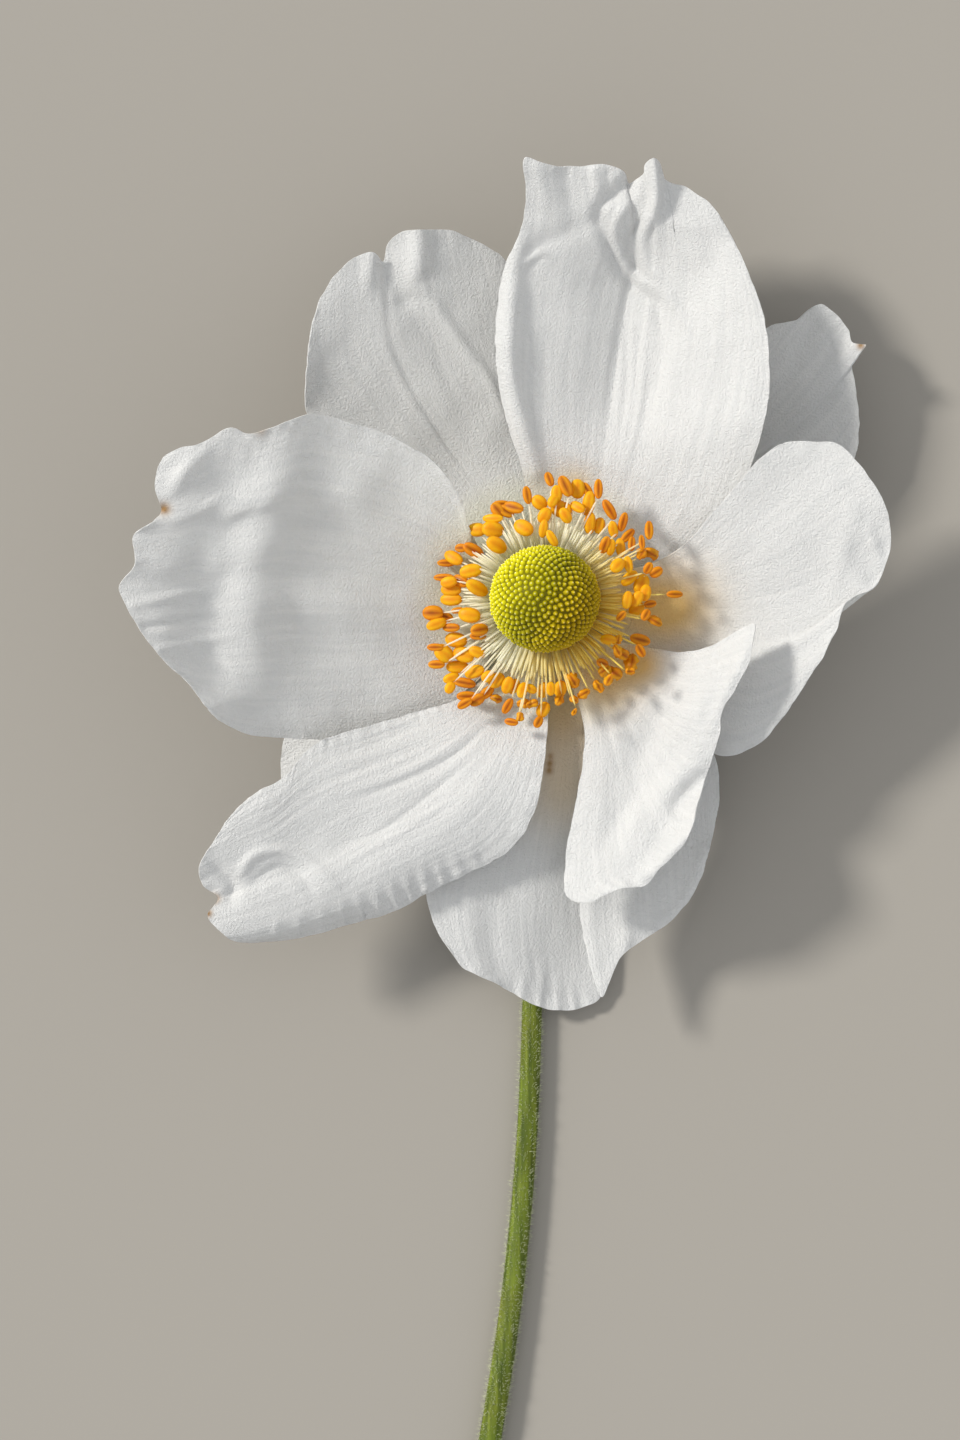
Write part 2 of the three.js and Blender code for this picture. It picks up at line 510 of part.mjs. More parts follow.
function stamens() {
  ANTHER_PLACES.forEach((place, k) => {
    const { stations, side } = stamenStations(place);
    const name = `stamen_${String(k + 1).padStart(2, '0')}`;
    addPiece(name, taperedBar(stations, STAMEN_SIDES, side), ANTHER_ORANGE);
  });
}

// ---------------------------------------------------------------- the whole flower
stem();
carpelHead();
tepals();
stamens();

const box = new THREE.Box3().setFromObject(flower, true);
const middle = box.getCenter(new THREE.Vector3());
flower.position.set(-middle.x, -middle.y, -box.min.z);
flower.updateMatrixWorld(true);

export default flower;
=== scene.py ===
import math

import bpy
import numpy as np
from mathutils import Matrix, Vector


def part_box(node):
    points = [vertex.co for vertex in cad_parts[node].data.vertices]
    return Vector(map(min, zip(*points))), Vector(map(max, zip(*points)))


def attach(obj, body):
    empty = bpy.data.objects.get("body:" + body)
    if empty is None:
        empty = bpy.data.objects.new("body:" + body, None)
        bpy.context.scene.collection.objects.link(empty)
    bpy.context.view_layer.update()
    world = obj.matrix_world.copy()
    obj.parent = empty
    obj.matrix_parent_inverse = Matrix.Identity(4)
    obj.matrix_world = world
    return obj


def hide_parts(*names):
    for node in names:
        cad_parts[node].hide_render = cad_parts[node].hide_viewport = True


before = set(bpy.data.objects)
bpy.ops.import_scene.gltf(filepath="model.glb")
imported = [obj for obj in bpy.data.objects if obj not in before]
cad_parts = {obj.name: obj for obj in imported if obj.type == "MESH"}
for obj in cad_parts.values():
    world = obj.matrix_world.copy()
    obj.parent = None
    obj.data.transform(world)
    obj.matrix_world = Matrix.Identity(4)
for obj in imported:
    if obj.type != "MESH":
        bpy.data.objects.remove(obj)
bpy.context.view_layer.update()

# ------------------------------------------------------------------ the flower's place and light
# The flower lies face up on a pale surface, its stem along -Y. Its own axis goes through the
# carpel head. A low sun comes from the upper left, as it stood when the flower was picked, and
# a pale sky fills the shade. The camera looks straight down from half a metre.
MM = 0.001
HEAD_HEIGHT = 13.3                # millimetres from the surface to the middle of the carpel head
CAMERA_ASIDE = (-5.25 * MM, -9.84 * MM)
CAMERA_HEIGHT = 500 * MM
SUN_FROM = Vector((-0.74, 0.37, 0.60))
SUN_ANGLE = math.radians(9)       # apparent size of the softened sun
SKY_COLOUR = (0.95, 0.965, 0.98, 1)
SURFACE_COLOUR = (0.33, 0.31, 0.28, 1)

head_low, head_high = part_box("carpel_head")
AXIS = (head_low + head_high) / 2 - Vector((0, 0, HEAD_HEIGHT * MM))


bpy.ops.object.select_all(action="DESELECT")
bpy.ops.object.camera_add(
    location=(AXIS.x + CAMERA_ASIDE[0], AXIS.y + CAMERA_ASIDE[1], CAMERA_HEIGHT)
)
camera = bpy.context.object
camera.data.lens = 150
camera.data.sensor_width = 36
bpy.context.scene.camera = camera

bpy.ops.object.light_add(type="SUN", rotation=SUN_FROM.to_track_quat("Z", "Y").to_euler())
sun = bpy.context.object
sun.data.energy = 3.1
sun.data.angle = SUN_ANGLE
sun.data.color = (1.0, 0.965, 0.90)

sky = bpy.data.worlds.new("pale_sky")
sky.use_nodes = True
sky.node_tree.nodes["Background"].inputs["Color"].default_value = SKY_COLOUR
sky.node_tree.nodes["Background"].inputs["Strength"].default_value = 0.77
bpy.context.scene.world = sky
bpy.context.scene.view_settings.view_transform = "Standard"


def fill(tree, node, values):
    """Sets a node's properties and inputs, or links an input to another node's output."""
    for key, value in values.items():
        if key not in node.inputs:
            setattr(node, key, value)
        elif isinstance(value, bpy.types.NodeSocket):
            tree.links.new(value, node.inputs[key])
        else:
            node.inputs[key].default_value = value
    return node


def new_material(name, roughness, specular=0.4):
    """A material with its Principled shader, and its node tree to add to."""
    material = bpy.data.materials.new(name)
    material.use_nodes = True
    tree = material.node_tree
    skin = tree.nodes["Principled BSDF"]
    fill(tree, skin, {"Roughness": roughness, "Specular IOR Level": specular})
    return material, tree, skin


# The surface lies just clear of the part, which touches the height zero.
bpy.ops.mesh.primitive_plane_add(size=3, location=(0, 0, -0.02 * MM))
surface = bpy.context.object
surface.name = "pale_surface"
paper, tree, skin = new_material("matt_paper", 0.9, 0.15)
skin.inputs["Base Color"].default_value = SURFACE_COLOUR
surface.data.materials.append(paper)


# ------------------------------------------------------------------ stem
# A green stalk, a little thicker towards its cut end, that bends up under the flower and swells
# into the receptacle. Low ridges run along it and it is covered in short pale hairs.
STEM_AT_NECK = 0.72
STEM_AT_CUT = 0.97
BEND_RADIUS = 4.2
STEM_LYING = [
    (-7.1, -84.5), (-5.9, -78), (-4.4, -69.6), (-3.0, -60.8), (-2.1, -53.4),
    (-1.3, -43.7), (-0.9, -33.3), (-0.6, -22), (-0.3, -12),
]
LYING_STEPS = 60
BEND_STEPS = 14
#   (height, radius)
RECEPTACLE = [(5.2, 0.85), (5.6, 1.3), (6.0, 1.85), (7.0, 1.9), (8.0, 1.95), (8.3, 2.85), (8.5, 2.6)]
HAIR_COUNT = 5200
HAIR_LENGTH = (0.22, 0.62)
HAIR_WIDTH = 0.036
HAIR_ROOT = 0.97                  # share of the stem's radius at which a hair starts
HAIRY_SIDES = (-35, 215)          # degrees round the stem, all but where it lies


def framed(points):
    """Millimetres from the flower's own axis, as metres in the frame."""
    return np.asarray(points, float) * MM + np.array(AXIS)


def through(points, shares):
    """Points at shares (0 to 1) of the length of a smooth line through the given points."""
    points = np.array(points, float)
    steps = np.linalg.norm(np.diff(points, axis=0), axis=1)
    reached = np.concatenate([[0], np.cumsum(steps)])
    slopes = np.gradient(points, reached, axis=0)
    at = np.asarray(shares) * reached[-1]
    i = np.clip(np.searchsorted(reached, at, side="right") - 1, 0, len(steps) - 1)
    u = ((at - reached[i]) / steps[i])[:, None]
    span = steps[i][:, None]
    start = points[i] * (1 + 2 * u) * (1 - u) ** 2 + span * slopes[i] * u * (1 - u) ** 2
    end = points[i + 1] * u**2 * (3 - 2 * u) - span * slopes[i + 1] * u**2 * (1 - u)
    return start + end


def stem_stations():
    """Centres and radii of the stalk from its cut end to the top of the receptacle."""
    lying = through([(*p, 0) for p in STEM_LYING], np.linspace(0, 1, LYING_STEPS))
    radii = np.interp(lying[:, 1], [STEM_LYING[0][1], 0], [STEM_AT_CUT, STEM_AT_NECK])
    stations = [(x, y, r, r) for (x, y, _), r in zip(lying, radii)]
    for turn in np.linspace(0, math.pi / 2, BEND_STEPS):
        y = BEND_RADIUS * (math.sin(turn) - 1)
        z = STEM_AT_NECK + BEND_RADIUS * (1 - math.cos(turn))
        stations.append((0, y, z, STEM_AT_NECK))
    stations += [(0, 0, z, r) for z, r in RECEPTACLE]
    return np.array(stations)


def linked(mesh):
    """A smooth piece made of a mesh and named after it."""
    mesh.shade_smooth()
    piece = bpy.data.objects.new(mesh.name, mesh)
    bpy.context.scene.collection.objects.link(piece)
    return piece


def copied(name, template, corners):
    """A piece of many copies of a template, from the corners of each; the template goes."""
    faces = [list(face.vertices) for face in template.data.polygons]
    count, size = corners.shape[:2]
    faces = [[corner + k * size for corner in face] for k in range(count) for face in faces]
    mesh = bpy.data.meshes.new(name)
    mesh.from_pydata(framed(corners.reshape(-1, 3)), [], faces)
    bpy.data.meshes.remove(template.data)
    return linked(mesh)


def scattered(name, template, centres, axes, widths, lengths):
    """Copies of a template that stands along +Z, one at each centre."""
    shape = np.array([corner.co for corner in template.data.vertices])
    axes = axes / np.linalg.norm(axes, axis=1)[:, None]
    helper = np.where(np.abs(axes[:, 2:]) < 0.9, [[0, 0, 1.0]], [[1.0, 0, 0]])
    across = np.cross(helper, axes)
    across /= np.linalg.norm(across, axis=1)[:, None]
    over = np.cross(axes, across)
    corners = centres[:, None] + axes[:, None] * (shape[None, :, 2:] * lengths[:, None, None])
    for side, way in enumerate((across, over)):
        corners += way[:, None] * (shape[None, :, side:side + 1] * widths[:, None, None])
    return copied(name, template, corners)


stations = stem_stations()
line = bpy.data.curves.new("stem_line", "CURVE")
line.dimensions = "3D"
line.bevel_depth = MM
line.bevel_resolution = 6
line.use_fill_caps = True
spline = line.splines.new("POLY")
spline.points.add(len(stations) - 1)
for point, place, radius in zip(spline.points, framed(stations[:, :3]), stations[:, 3]):
    point.co = (*place, 1)
    point.radius = radius
stalk = bpy.data.objects.new("stem_stalk", line)
bpy.context.scene.collection.objects.link(stalk)
bpy.ops.object.select_all(action="DESELECT")
stalk.select_set(True)
bpy.context.view_layer.objects.active = stalk
bpy.ops.object.convert(target="MESH")
stalk = bpy.context.object
stalk.data.shade_smooth()


def add_node(tree, kind, **values):
    """A new node with its values filled in."""
    return fill(tree, tree.nodes.new(kind), values)


def mixed(tree, factor, a, b, way="MIX"):
    """A blend of two colours, each given as a colour or as a node's output."""
    values = {"data_type": "RGBA", "blend_type": way, "Factor": factor, "A": a, "B": b}
    return add_node(tree, "ShaderNodeMix", **values).outputs["Result"]


def ramp(tree, share, first, *others, last):
    """Colours along a share; each stop is its position, red, green and blue."""
    node = add_node(tree, "ShaderNodeValToRGB", Fac=share)
    stops = node.color_ramp.elements
    for stop, (position, *colour) in zip(stops, (first, last)):
        stop.position = position
        stop.color = (*colour, 1)
    for position, *colour in others:
        stops.new(position).color = (*colour, 1)
    return node.outputs["Color"]


rind, tree, skin = new_material("stem_rind", 0.62, 0.2)
place = add_node(tree, "ShaderNodeTexCoord").outputs["Object"]
ridges = add_node(tree, "ShaderNodeMapping", Scale=(1, 0.06, 1), Vector=place).outputs["Vector"]
lines = add_node(tree, "ShaderNodeTexNoise", Scale=2300, Detail=3, Vector=ridges).outputs["Fac"]
blotches = add_node(tree, "ShaderNodeTexNoise", Scale=160, Detail=4, Vector=place).outputs["Color"]
streaked = ramp(tree, lines, (0.32, 0.062, 0.094, 0.009), last=(0.70, 0.205, 0.262, 0.028))
relief = add_node(tree, "ShaderNodeBump", Strength=0.6, Distance=0.08 * MM, Height=lines)
fill(tree, skin, {
    "Base Color": mixed(tree, 0.35, streaked, blotches, "MULTIPLY"),
    "Normal": relief.outputs["Normal"],
})
stalk.data.materials.append(rind)
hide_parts("stem")
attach(stalk, "root")

chance = np.random.default_rng(7)
lying_part = stations[:LYING_STEPS]
at = chance.uniform(0, LYING_STEPS - 1.01, HAIR_COUNT)
before = lying_part[at.astype(int)]
after = lying_part[at.astype(int) + 1]
middle = before + (after - before) * (at % 1)[:, None]
angle = chance.uniform(*np.radians(HAIRY_SIDES), HAIR_COUNT)
outward = np.column_stack([np.cos(angle), np.zeros(HAIR_COUNT), np.sin(angle)])
lean_along = chance.normal(0.25, 0.5, HAIR_COUNT)
lean_up = chance.normal(0, 0.25, HAIR_COUNT)
lean = np.column_stack([np.zeros(HAIR_COUNT), lean_along, lean_up])
bpy.ops.mesh.primitive_cone_add(vertices=3, radius1=1, radius2=0, depth=1, location=(0, 0, 0.5))
spike = bpy.context.object
bpy.ops.object.transform_apply(location=True)
hairs = scattered(
    "stem_hairs", spike,
    middle[:, :3] + outward * middle[:, 3:] * HAIR_ROOT,
    outward + lean,
    np.full(HAIR_COUNT, HAIR_WIDTH / 2),
    chance.uniform(*HAIR_LENGTH, HAIR_COUNT),
)
down, tree, skin = new_material("pale_hair", 0.5)
skin.inputs["Base Color"].default_value = (0.62, 0.66, 0.42, 1)
hairs.data.materials.append(down)
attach(hairs, "root")


# ------------------------------------------------------------------ carpel head
# A globe of hundreds of tiny carpels, packed in the spirals of the golden angle. Each is a pointed
# green bead with a pale tip, and the gaps between them are dark olive. Its colour is painted
# lighter towards the sun and more golden away from it: painted light and shade.
SHADE_SIDE = (0.85, -0.53)               # the side of the flower away from the sun, where shade falls
CARPELS_ON_A_WHOLE_GLOBE = 980
CARPEL_WIDTH = 0.28
CARPEL_LENGTH = 0.34
LOWEST_CARPEL = 128               # degrees from the top of the globe
CARPEL_STANDS_OUT = 0.28          # from the middle of a carpel to the outside of the head
CORE_SWELL = 0.07                 # how far the core reaches past the middles of the carpels
DISORDER = 0.006                  # how unevenly the carpels are set, as a share of the radius
BEAD_CUT = -0.6                   # the hidden end of a bead of radius 1 is left out below this
POINTEDNESS = 0.7
head_middle = np.array([0, 0, HEAD_HEIGHT])
head_radii = np.array((head_high - head_low) / 2) / MM - CARPEL_STANDS_OUT

turn = np.arange(CARPELS_ON_A_WHOLE_GLOBE)
height = 1 - 2 * (turn + 0.5) / CARPELS_ON_A_WHOLE_GLOBE
turn = turn[height > math.cos(math.radians(LOWEST_CARPEL))]
height = height[: len(turn)]
golden = turn * math.pi * (3 - math.sqrt(5))
wide = np.sqrt(1 - height**2)
ways = np.column_stack([wide * np.cos(golden), wide * np.sin(golden), height])
chance = np.random.default_rng(3)
ways += chance.normal(0, DISORDER, ways.shape)

bpy.ops.mesh.primitive_uv_sphere_add(segments=8, ring_count=6, radius=1)
bead = bpy.context.object
bpy.ops.object.mode_set(mode="EDIT")
bpy.ops.mesh.select_all(action="DESELECT")
bpy.ops.object.mode_set(mode="OBJECT")
for corner in bead.data.vertices:
    corner.select = corner.co.z < BEAD_CUT
bpy.ops.object.mode_set(mode="EDIT")
bpy.ops.mesh.delete(type="VERT")
bpy.ops.object.mode_set(mode="OBJECT")
for corner in bead.data.vertices:
    point_in = 1 - POINTEDNESS * max(corner.co.z, 0)
    corner.co.x *= point_in
    corner.co.y *= point_in
bead_heights = np.array([corner.co.z for corner in bead.data.vertices])
carpels = scattered(
    "carpel_globe", bead, head_middle + ways * head_radii, ways,
    CARPEL_WIDTH * chance.uniform(0.9, 1.1, len(ways)),
    CARPEL_LENGTH * chance.uniform(0.85, 1.1, len(ways)),
)
bpy.ops.mesh.primitive_uv_sphere_add(segments=48, ring_count=32, radius=1)
core = bpy.context.object
for corner in core.data.vertices:
    corner.co = framed(head_middle + np.array(corner.co) * (head_radii + CORE_SWELL))
core.data.shade_smooth()
carpel_corners = len(carpels.data.vertices)
bpy.ops.object.select_all(action="DESELECT")
core.select_set(True)
carpels.select_set(True)
bpy.context.view_layer.objects.active = carpels
bpy.ops.object.join()
tip = carpels.data.attributes.new("tip", "FLOAT", "POINT")
share = np.zeros(len(carpels.data.vertices))
share[:carpel_corners] = np.tile((bead_heights - BEAD_CUT) / (1 - BEAD_CUT), len(ways))
tip.data.foreach_set("value", share)
places = np.array([corner.co for corner in carpels.data.vertices]) / MM - np.array(AXIS) / MM
# How far each place lies towards the side away from the sun, for the painted light and shade.
shade_side_share = carpels.data.attributes.new("shade_side_share", "FLOAT", "POINT")
shade_side_share.data.foreach_set("value", 0.5 + 0.5 * (places - head_middle) @ (*SHADE_SIDE, 0) / head_radii[0])


def painted(tree, mark):
    """What a mesh attribute says at each place."""
    return add_node(tree, "ShaderNodeAttribute", attribute_name=mark).outputs["Fac"]


globe, tree, skin = new_material("carpel_green", 0.55, 0.10)
place = add_node(tree, "ShaderNodeTexCoord").outputs["Object"]
patches = add_node(tree, "ShaderNodeTexNoise", Scale=420, Detail=2, Vector=place).outputs["Fac"]
shades = ramp(
    tree, painted(tree, "tip"),
    (0, 0.19, 0.17, 0.002), (0.45, 0.42, 0.38, 0.004), (0.86, 0.78, 0.70, 0.010),
    last=(1, 1.0, 0.98, 0.52),
)
# Painted light and shade: lighter on the side towards the sun, more golden on the side away from it.
painted_sun_and_shade = ramp(
    tree, painted(tree, "shade_side_share"),
    (0.12, 0.96, 0.98, 1.0), (0.5, 0.50, 0.49, 0.50), (0.74, 0.76, 0.62, 0.40),
    last=(0.88, 0.60, 0.44, 0.20),
)
tipped_and_painted = mixed(tree, 1, shades, painted_sun_and_shade, "MULTIPLY")
fill(tree, skin, {"Base Color": mixed(tree, 0.35, tipped_and_painted, patches, "OVERLAY")})
carpels.data.materials.clear()
carpels.data.materials.append(globe)
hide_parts("carpel_head")
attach(carpels, "root")


# ------------------------------------------------------------------ tepals
# Ten soft white tepals in two whorls. Each grows from a narrow claw and fans out, with fine
# veins along it, a silky grain, creases of its own and a thin, slightly ragged margin.
#   facing     azimuth of the claw, degrees
#   floor      (distance from the claw, height): how the middle of the blade runs outwards
#   grip       how close to the margin the blade leaves that floor for the margin's height
#   shoulders  the two places in the margin where its sides turn into its tip
#   crinkle    how strongly the margin is crinkled
#   streaks    how strongly the blade is streaked along its veins
#   margin     (x, y, z) around the blade, clockwise seen from above
#   folds      (width, [(x, y, height), ...]): ridges, or grooves where the height is negative
#   stains     (x, y, radius, strength): where the blade has gone brown, if it has
#   warm_shade (x, y, radius, strength): painted warm shade under the orange anthers
CLAW_DISTANCE = 1.8
CLAW_WIDTH = 1.7
BLADE_THICKNESS = 0.26
MARGIN_THINNESS = 0.35            # the margin's thickness as a share of the blade's
THIN_MARGIN = 2                   # how wide it is from the margin to the full thickness
EDGE_WIDTH = 1.3                  # how fast the crinkles fade inwards from the margin
RAGGEDNESS = 0.035                # how far the margin strays sideways
CALM_MARGIN = (4.8, 8)            # where crinkles start from the claw, and how soon they are full
CALM_FACE = (3, 10)               # the same for the rest of the blade
VEIN_STRETCH = 0.12               # ripples along the veins are drawn out by this
CRIMP_STRETCH = 0.4
WAVES = 14                        # waves that make up one kind of ripple
ANY_WAY = 180
STEPS_ACROSS = 190
STEPS_OUT = 180
VEINED_WIDTH = 20                 # millimetres across the vein map of every blade
MAP_SIZE = 60                     # millimetres that the whole map stands for
VEINS_ACROSS, VEINS_ALONG = 130, 7    # how fine the veins are on that map
CELL_SCALE = 5500
CLAW_TINT = (3, 9.5)              # millimetres from the claw over which its tint, partly painted warm light, fades
# How strongly the painted warm shade under the stamens shows at most.
WARM_SHADE_STRENGTH = 0.9
THICKNESS_LEVELS = 10
TEPALS = {}

TEPALS["upper_left"] = dict(
    facing=122, grip=1.6, shoulders=(6, 18), crinkle=1, streaks=0.4,
    floor=[(0, 6.2), (5, 3.7), (11, 2.7), (18, 4.7), (32, 7.8)],
    margin=[
        (-4.5, 3.7, 4.4), (-8.5, 6.4, 4), (-14, 9.6, 5.2), (-17.8, 12.9, 7), (-19.5, 15.5, 8.3),
        (-19.5, 18.1, 9.1), (-19.1, 21.7, 9.6), (-18.2, 24.8, 9.6), (-17, 26.6, 9.6), (-15.6, 27.9, 9.4),
        (-13.9, 28.4, 9), (-13.2, 27.7, 8.4), (-12.9, 29, 8.7), (-11.8, 30.1, 8.7), (-9.8, 30.3, 8.3),
        (-7.9, 30.4, 7.6), (-5.9, 29.7, 6.6), (-3.9, 28.7, 5.7), (-2.3, 26.7, 4.6), (-1, 23.1, 4),
        (-0.1, 18.6, 3.4), (0.6, 14.1, 2.8), (0.7, 9.6, 3.2), (0.3, 5.7, 4.6),
    ],
    folds=[
        (0.5, [(-9.8, 25.5, 0.18), (-6.9, 21.4, 0.27), (-4.5, 18.2, 0.24), (-3.2, 14.9, 0.06)]),
        (1.4, [(-11.2, 24.4, -0.3), (-8.4, 20.4, -0.3), (-6, 17, -0.24), (-4.8, 13.6, 0)]),
        (0.9, [(-10.3, 30.2, 0.6), (-10.3, 27.6, 0.66), (-10.8, 25.8, 0.3)]),
        (0.9, [(-13, 28.8, -0.24), (-12.5, 26.6, -0.3), (-11.5, 24.8, -0.3)]),
        (0.6, [(-14, 28.2, 0.3), (-14.4, 26, 0.18), (-14.6, 24.4, 0)]),
        (0.5, [(-13.2, 22, 0), (-12.4, 19.5, 0.07), (-10.6, 16.4, 0.06), (-8.2, 13, 0)]),
        (0.5, [(-9.4, 22, 0), (-8.6, 19.5, -0.07), (-7, 16, -0.07), (-5.2, 12.6, 0)]),
    ],
)

TEPALS["upper_right"] = dict(
    facing=39, grip=2, shoulders=(5, 15), crinkle=1, streaks=0.5,
    floor=[(0, 6.2), (5, 3.6), (11, 1.6), (18, 2.2), (30, 4.2)],
    margin=[
        (3.1, 4.7, 4.8), (6.7, 8.4, 2.8), (10.9, 13.2, 3.2), (14.5, 17.8, 4.2), (17, 21.4, 5),
        (18.8, 22.7, 5.4), (20.8, 23.1, 5.6), (22.9, 24.4, 6), (24, 23.6, 5.9), (25.1, 22.3, 5.8),
        (25.4, 21.3, 5.8), (26.5, 21, 6.1), (25.4, 20.3, 5.6), (25.6, 18.3, 5.4), (26, 15.7, 5),
        (25.9, 12.6, 4.4), (24.9, 9.9, 3.8), (22, 7.6, 3), (17.6, 5.6, 2.4), (12.2, 3.9, 2.4),
        (7.6, 2.4, 3.4), (4.3, 1.5, 4.8),
    ],
    folds=[
        (0.8, [(25.4, 21, 0.24), (23.5, 18.5, 0.18), (21, 15.5, 0)]),
        (0.9, [(22, 22.5, -0.18), (20.4, 18.5, -0.18), (18.4, 14.8, 0)]),
    ],
    stains=[(26.1, 21, 0.3, 1)],
)

TEPALS["left_under"] = dict(
    facing=206, grip=2, shoulders=(4, 9), crinkle=0.8, streaks=0.6,
    floor=[(0, 6.2), (5, 5.2), (11, 5.2), (17, 4.8), (24, 1.6)],
    margin=[
        (-2.8, -4.2, 4.6), (-5.4, -8.8, 3.4), (-9.2, -13.2, 2.4), (-13.5, -16.5, 1.6), (-17.2, -17.6, 1.2),
        (-20.1, -17.2, 1), (-21.5, -15.6, 1.1), (-21.8, -13.5, 1.3), (-21.4, -11.1, 1.9),
        (-20.1, -8.6, 2.6), (-17.2, -6.4, 3.1), (-13.1, -4.5, 3.4), (-8.5, -2.5, 3.8), (-4.8, -0.9, 4.8),
    ],
)

TEPALS["bottom"] = dict(
    facing=264, grip=1.6, shoulders=(6, 14), crinkle=1.8, streaks=0.7,
    floor=[(0, 6.2), (4, 6.7), (12, 7.8), (20, 5.8), (32, 2.2)],
    margin=[
        (2, -4.6, 6.2), (4, -8.6, 6.3), (4.6, -12.9, 6.1), (4.8, -18, 4.5), (4.7, -23.1, 2.9),
        (4.9, -28.1, 1.6), (5.1, -31.5, 1.2), (4.7, -33, 1.1), (3.4, -33.7, 1.1), (1.3, -34, 1.5),
        (-0.7, -33.5, 2.4), (-2.8, -32.3, 3), (-4.8, -31.2, 4.4), (-6.5, -30.4, 4.9), (-7.7, -28.8, 5.4),
        (-8.8, -27.2, 5.7), (-9.4, -25.5, 5.9), (-9.7, -23.7, 5.9), (-9.3, -21.1, 5.7), (-8.1, -17.6, 5.4),
        (-6.3, -14.2, 5.1), (-4.2, -10.8, 5), (-2.2, -6.4, 5.2),
    ],
    folds=[
        (0.4, [(-1.9, -33.2, 0.2), (-1.6, -30.6, 0.04)]),
        (0.35, [(-0.4, -33.8, 0.18), (-0.1, -30.4, 0.04)]), (0.4, [(1.2, -34.2, 0.2), (1.2, -30.2, 0)]),
        (0.35, [(2.6, -34, 0.16), (2.4, -30.8, 0)]), (0.4, [(3.9, -33.6, 0.16), (3.5, -30.6, 0)]),
        (1, [(-3.6, -25, 0.12), (-3.2, -31, 0.16)]),
    ],
    stains=[(0.55, -12.8, 0.25, 0.7), (0.5, -13.4, 0.3, 0.9), (0.45, -14, 0.3, 0.9)],
    warm_shade=[(1.2, -9, 4, 0.7), (1.6, -15.5, 3.4, 0.42)],
)

TEPALS["lower_right_under"] = dict(
    facing=320, grip=2, shoulders=(6, 14), crinkle=1.2, streaks=0.6,
    floor=[(0, 6.3), (5, 6.7), (12, 6.2), (20, 5), (30, 5.6)],
    margin=[
        (4.6, -3.2, 5.6), (8, -5.6, 5), (11.1, -8.2, 4.7), (13.3, -11.1, 4.5), (14.4, -13.8, 4.4),
        (14.5, -16.2, 4.4), (13.9, -19.5, 4.4), (12.9, -23, 4.5), (11.8, -25, 4.7), (10.2, -26.7, 4.9),
        (7.9, -28.1, 5.2), (6.3, -29.4, 5.6), (5.5, -31.2, 6), (4.8, -32.6, 6.3), (4.1, -31, 6.2),
        (3.5, -28.7, 6.1), (3, -25.8, 6), (3.1, -23, 6.2), (3.6, -19.3, 6.7), (4.1, -15.2, 7.6),
        (4.2, -11.1, 7.7), (3.2, -6.4, 7.2),
    ],
    folds=[
        (0.9, [(5.6, -31.5, 0.3), (6.8, -27.8, 0.3), (8.4, -24.6, 0)]),
        (0.6, [(13.6, -20.4, 0.24), (11.6, -24.8, 0.24), (8.6, -27.4, 0.18)]),
    ],
)

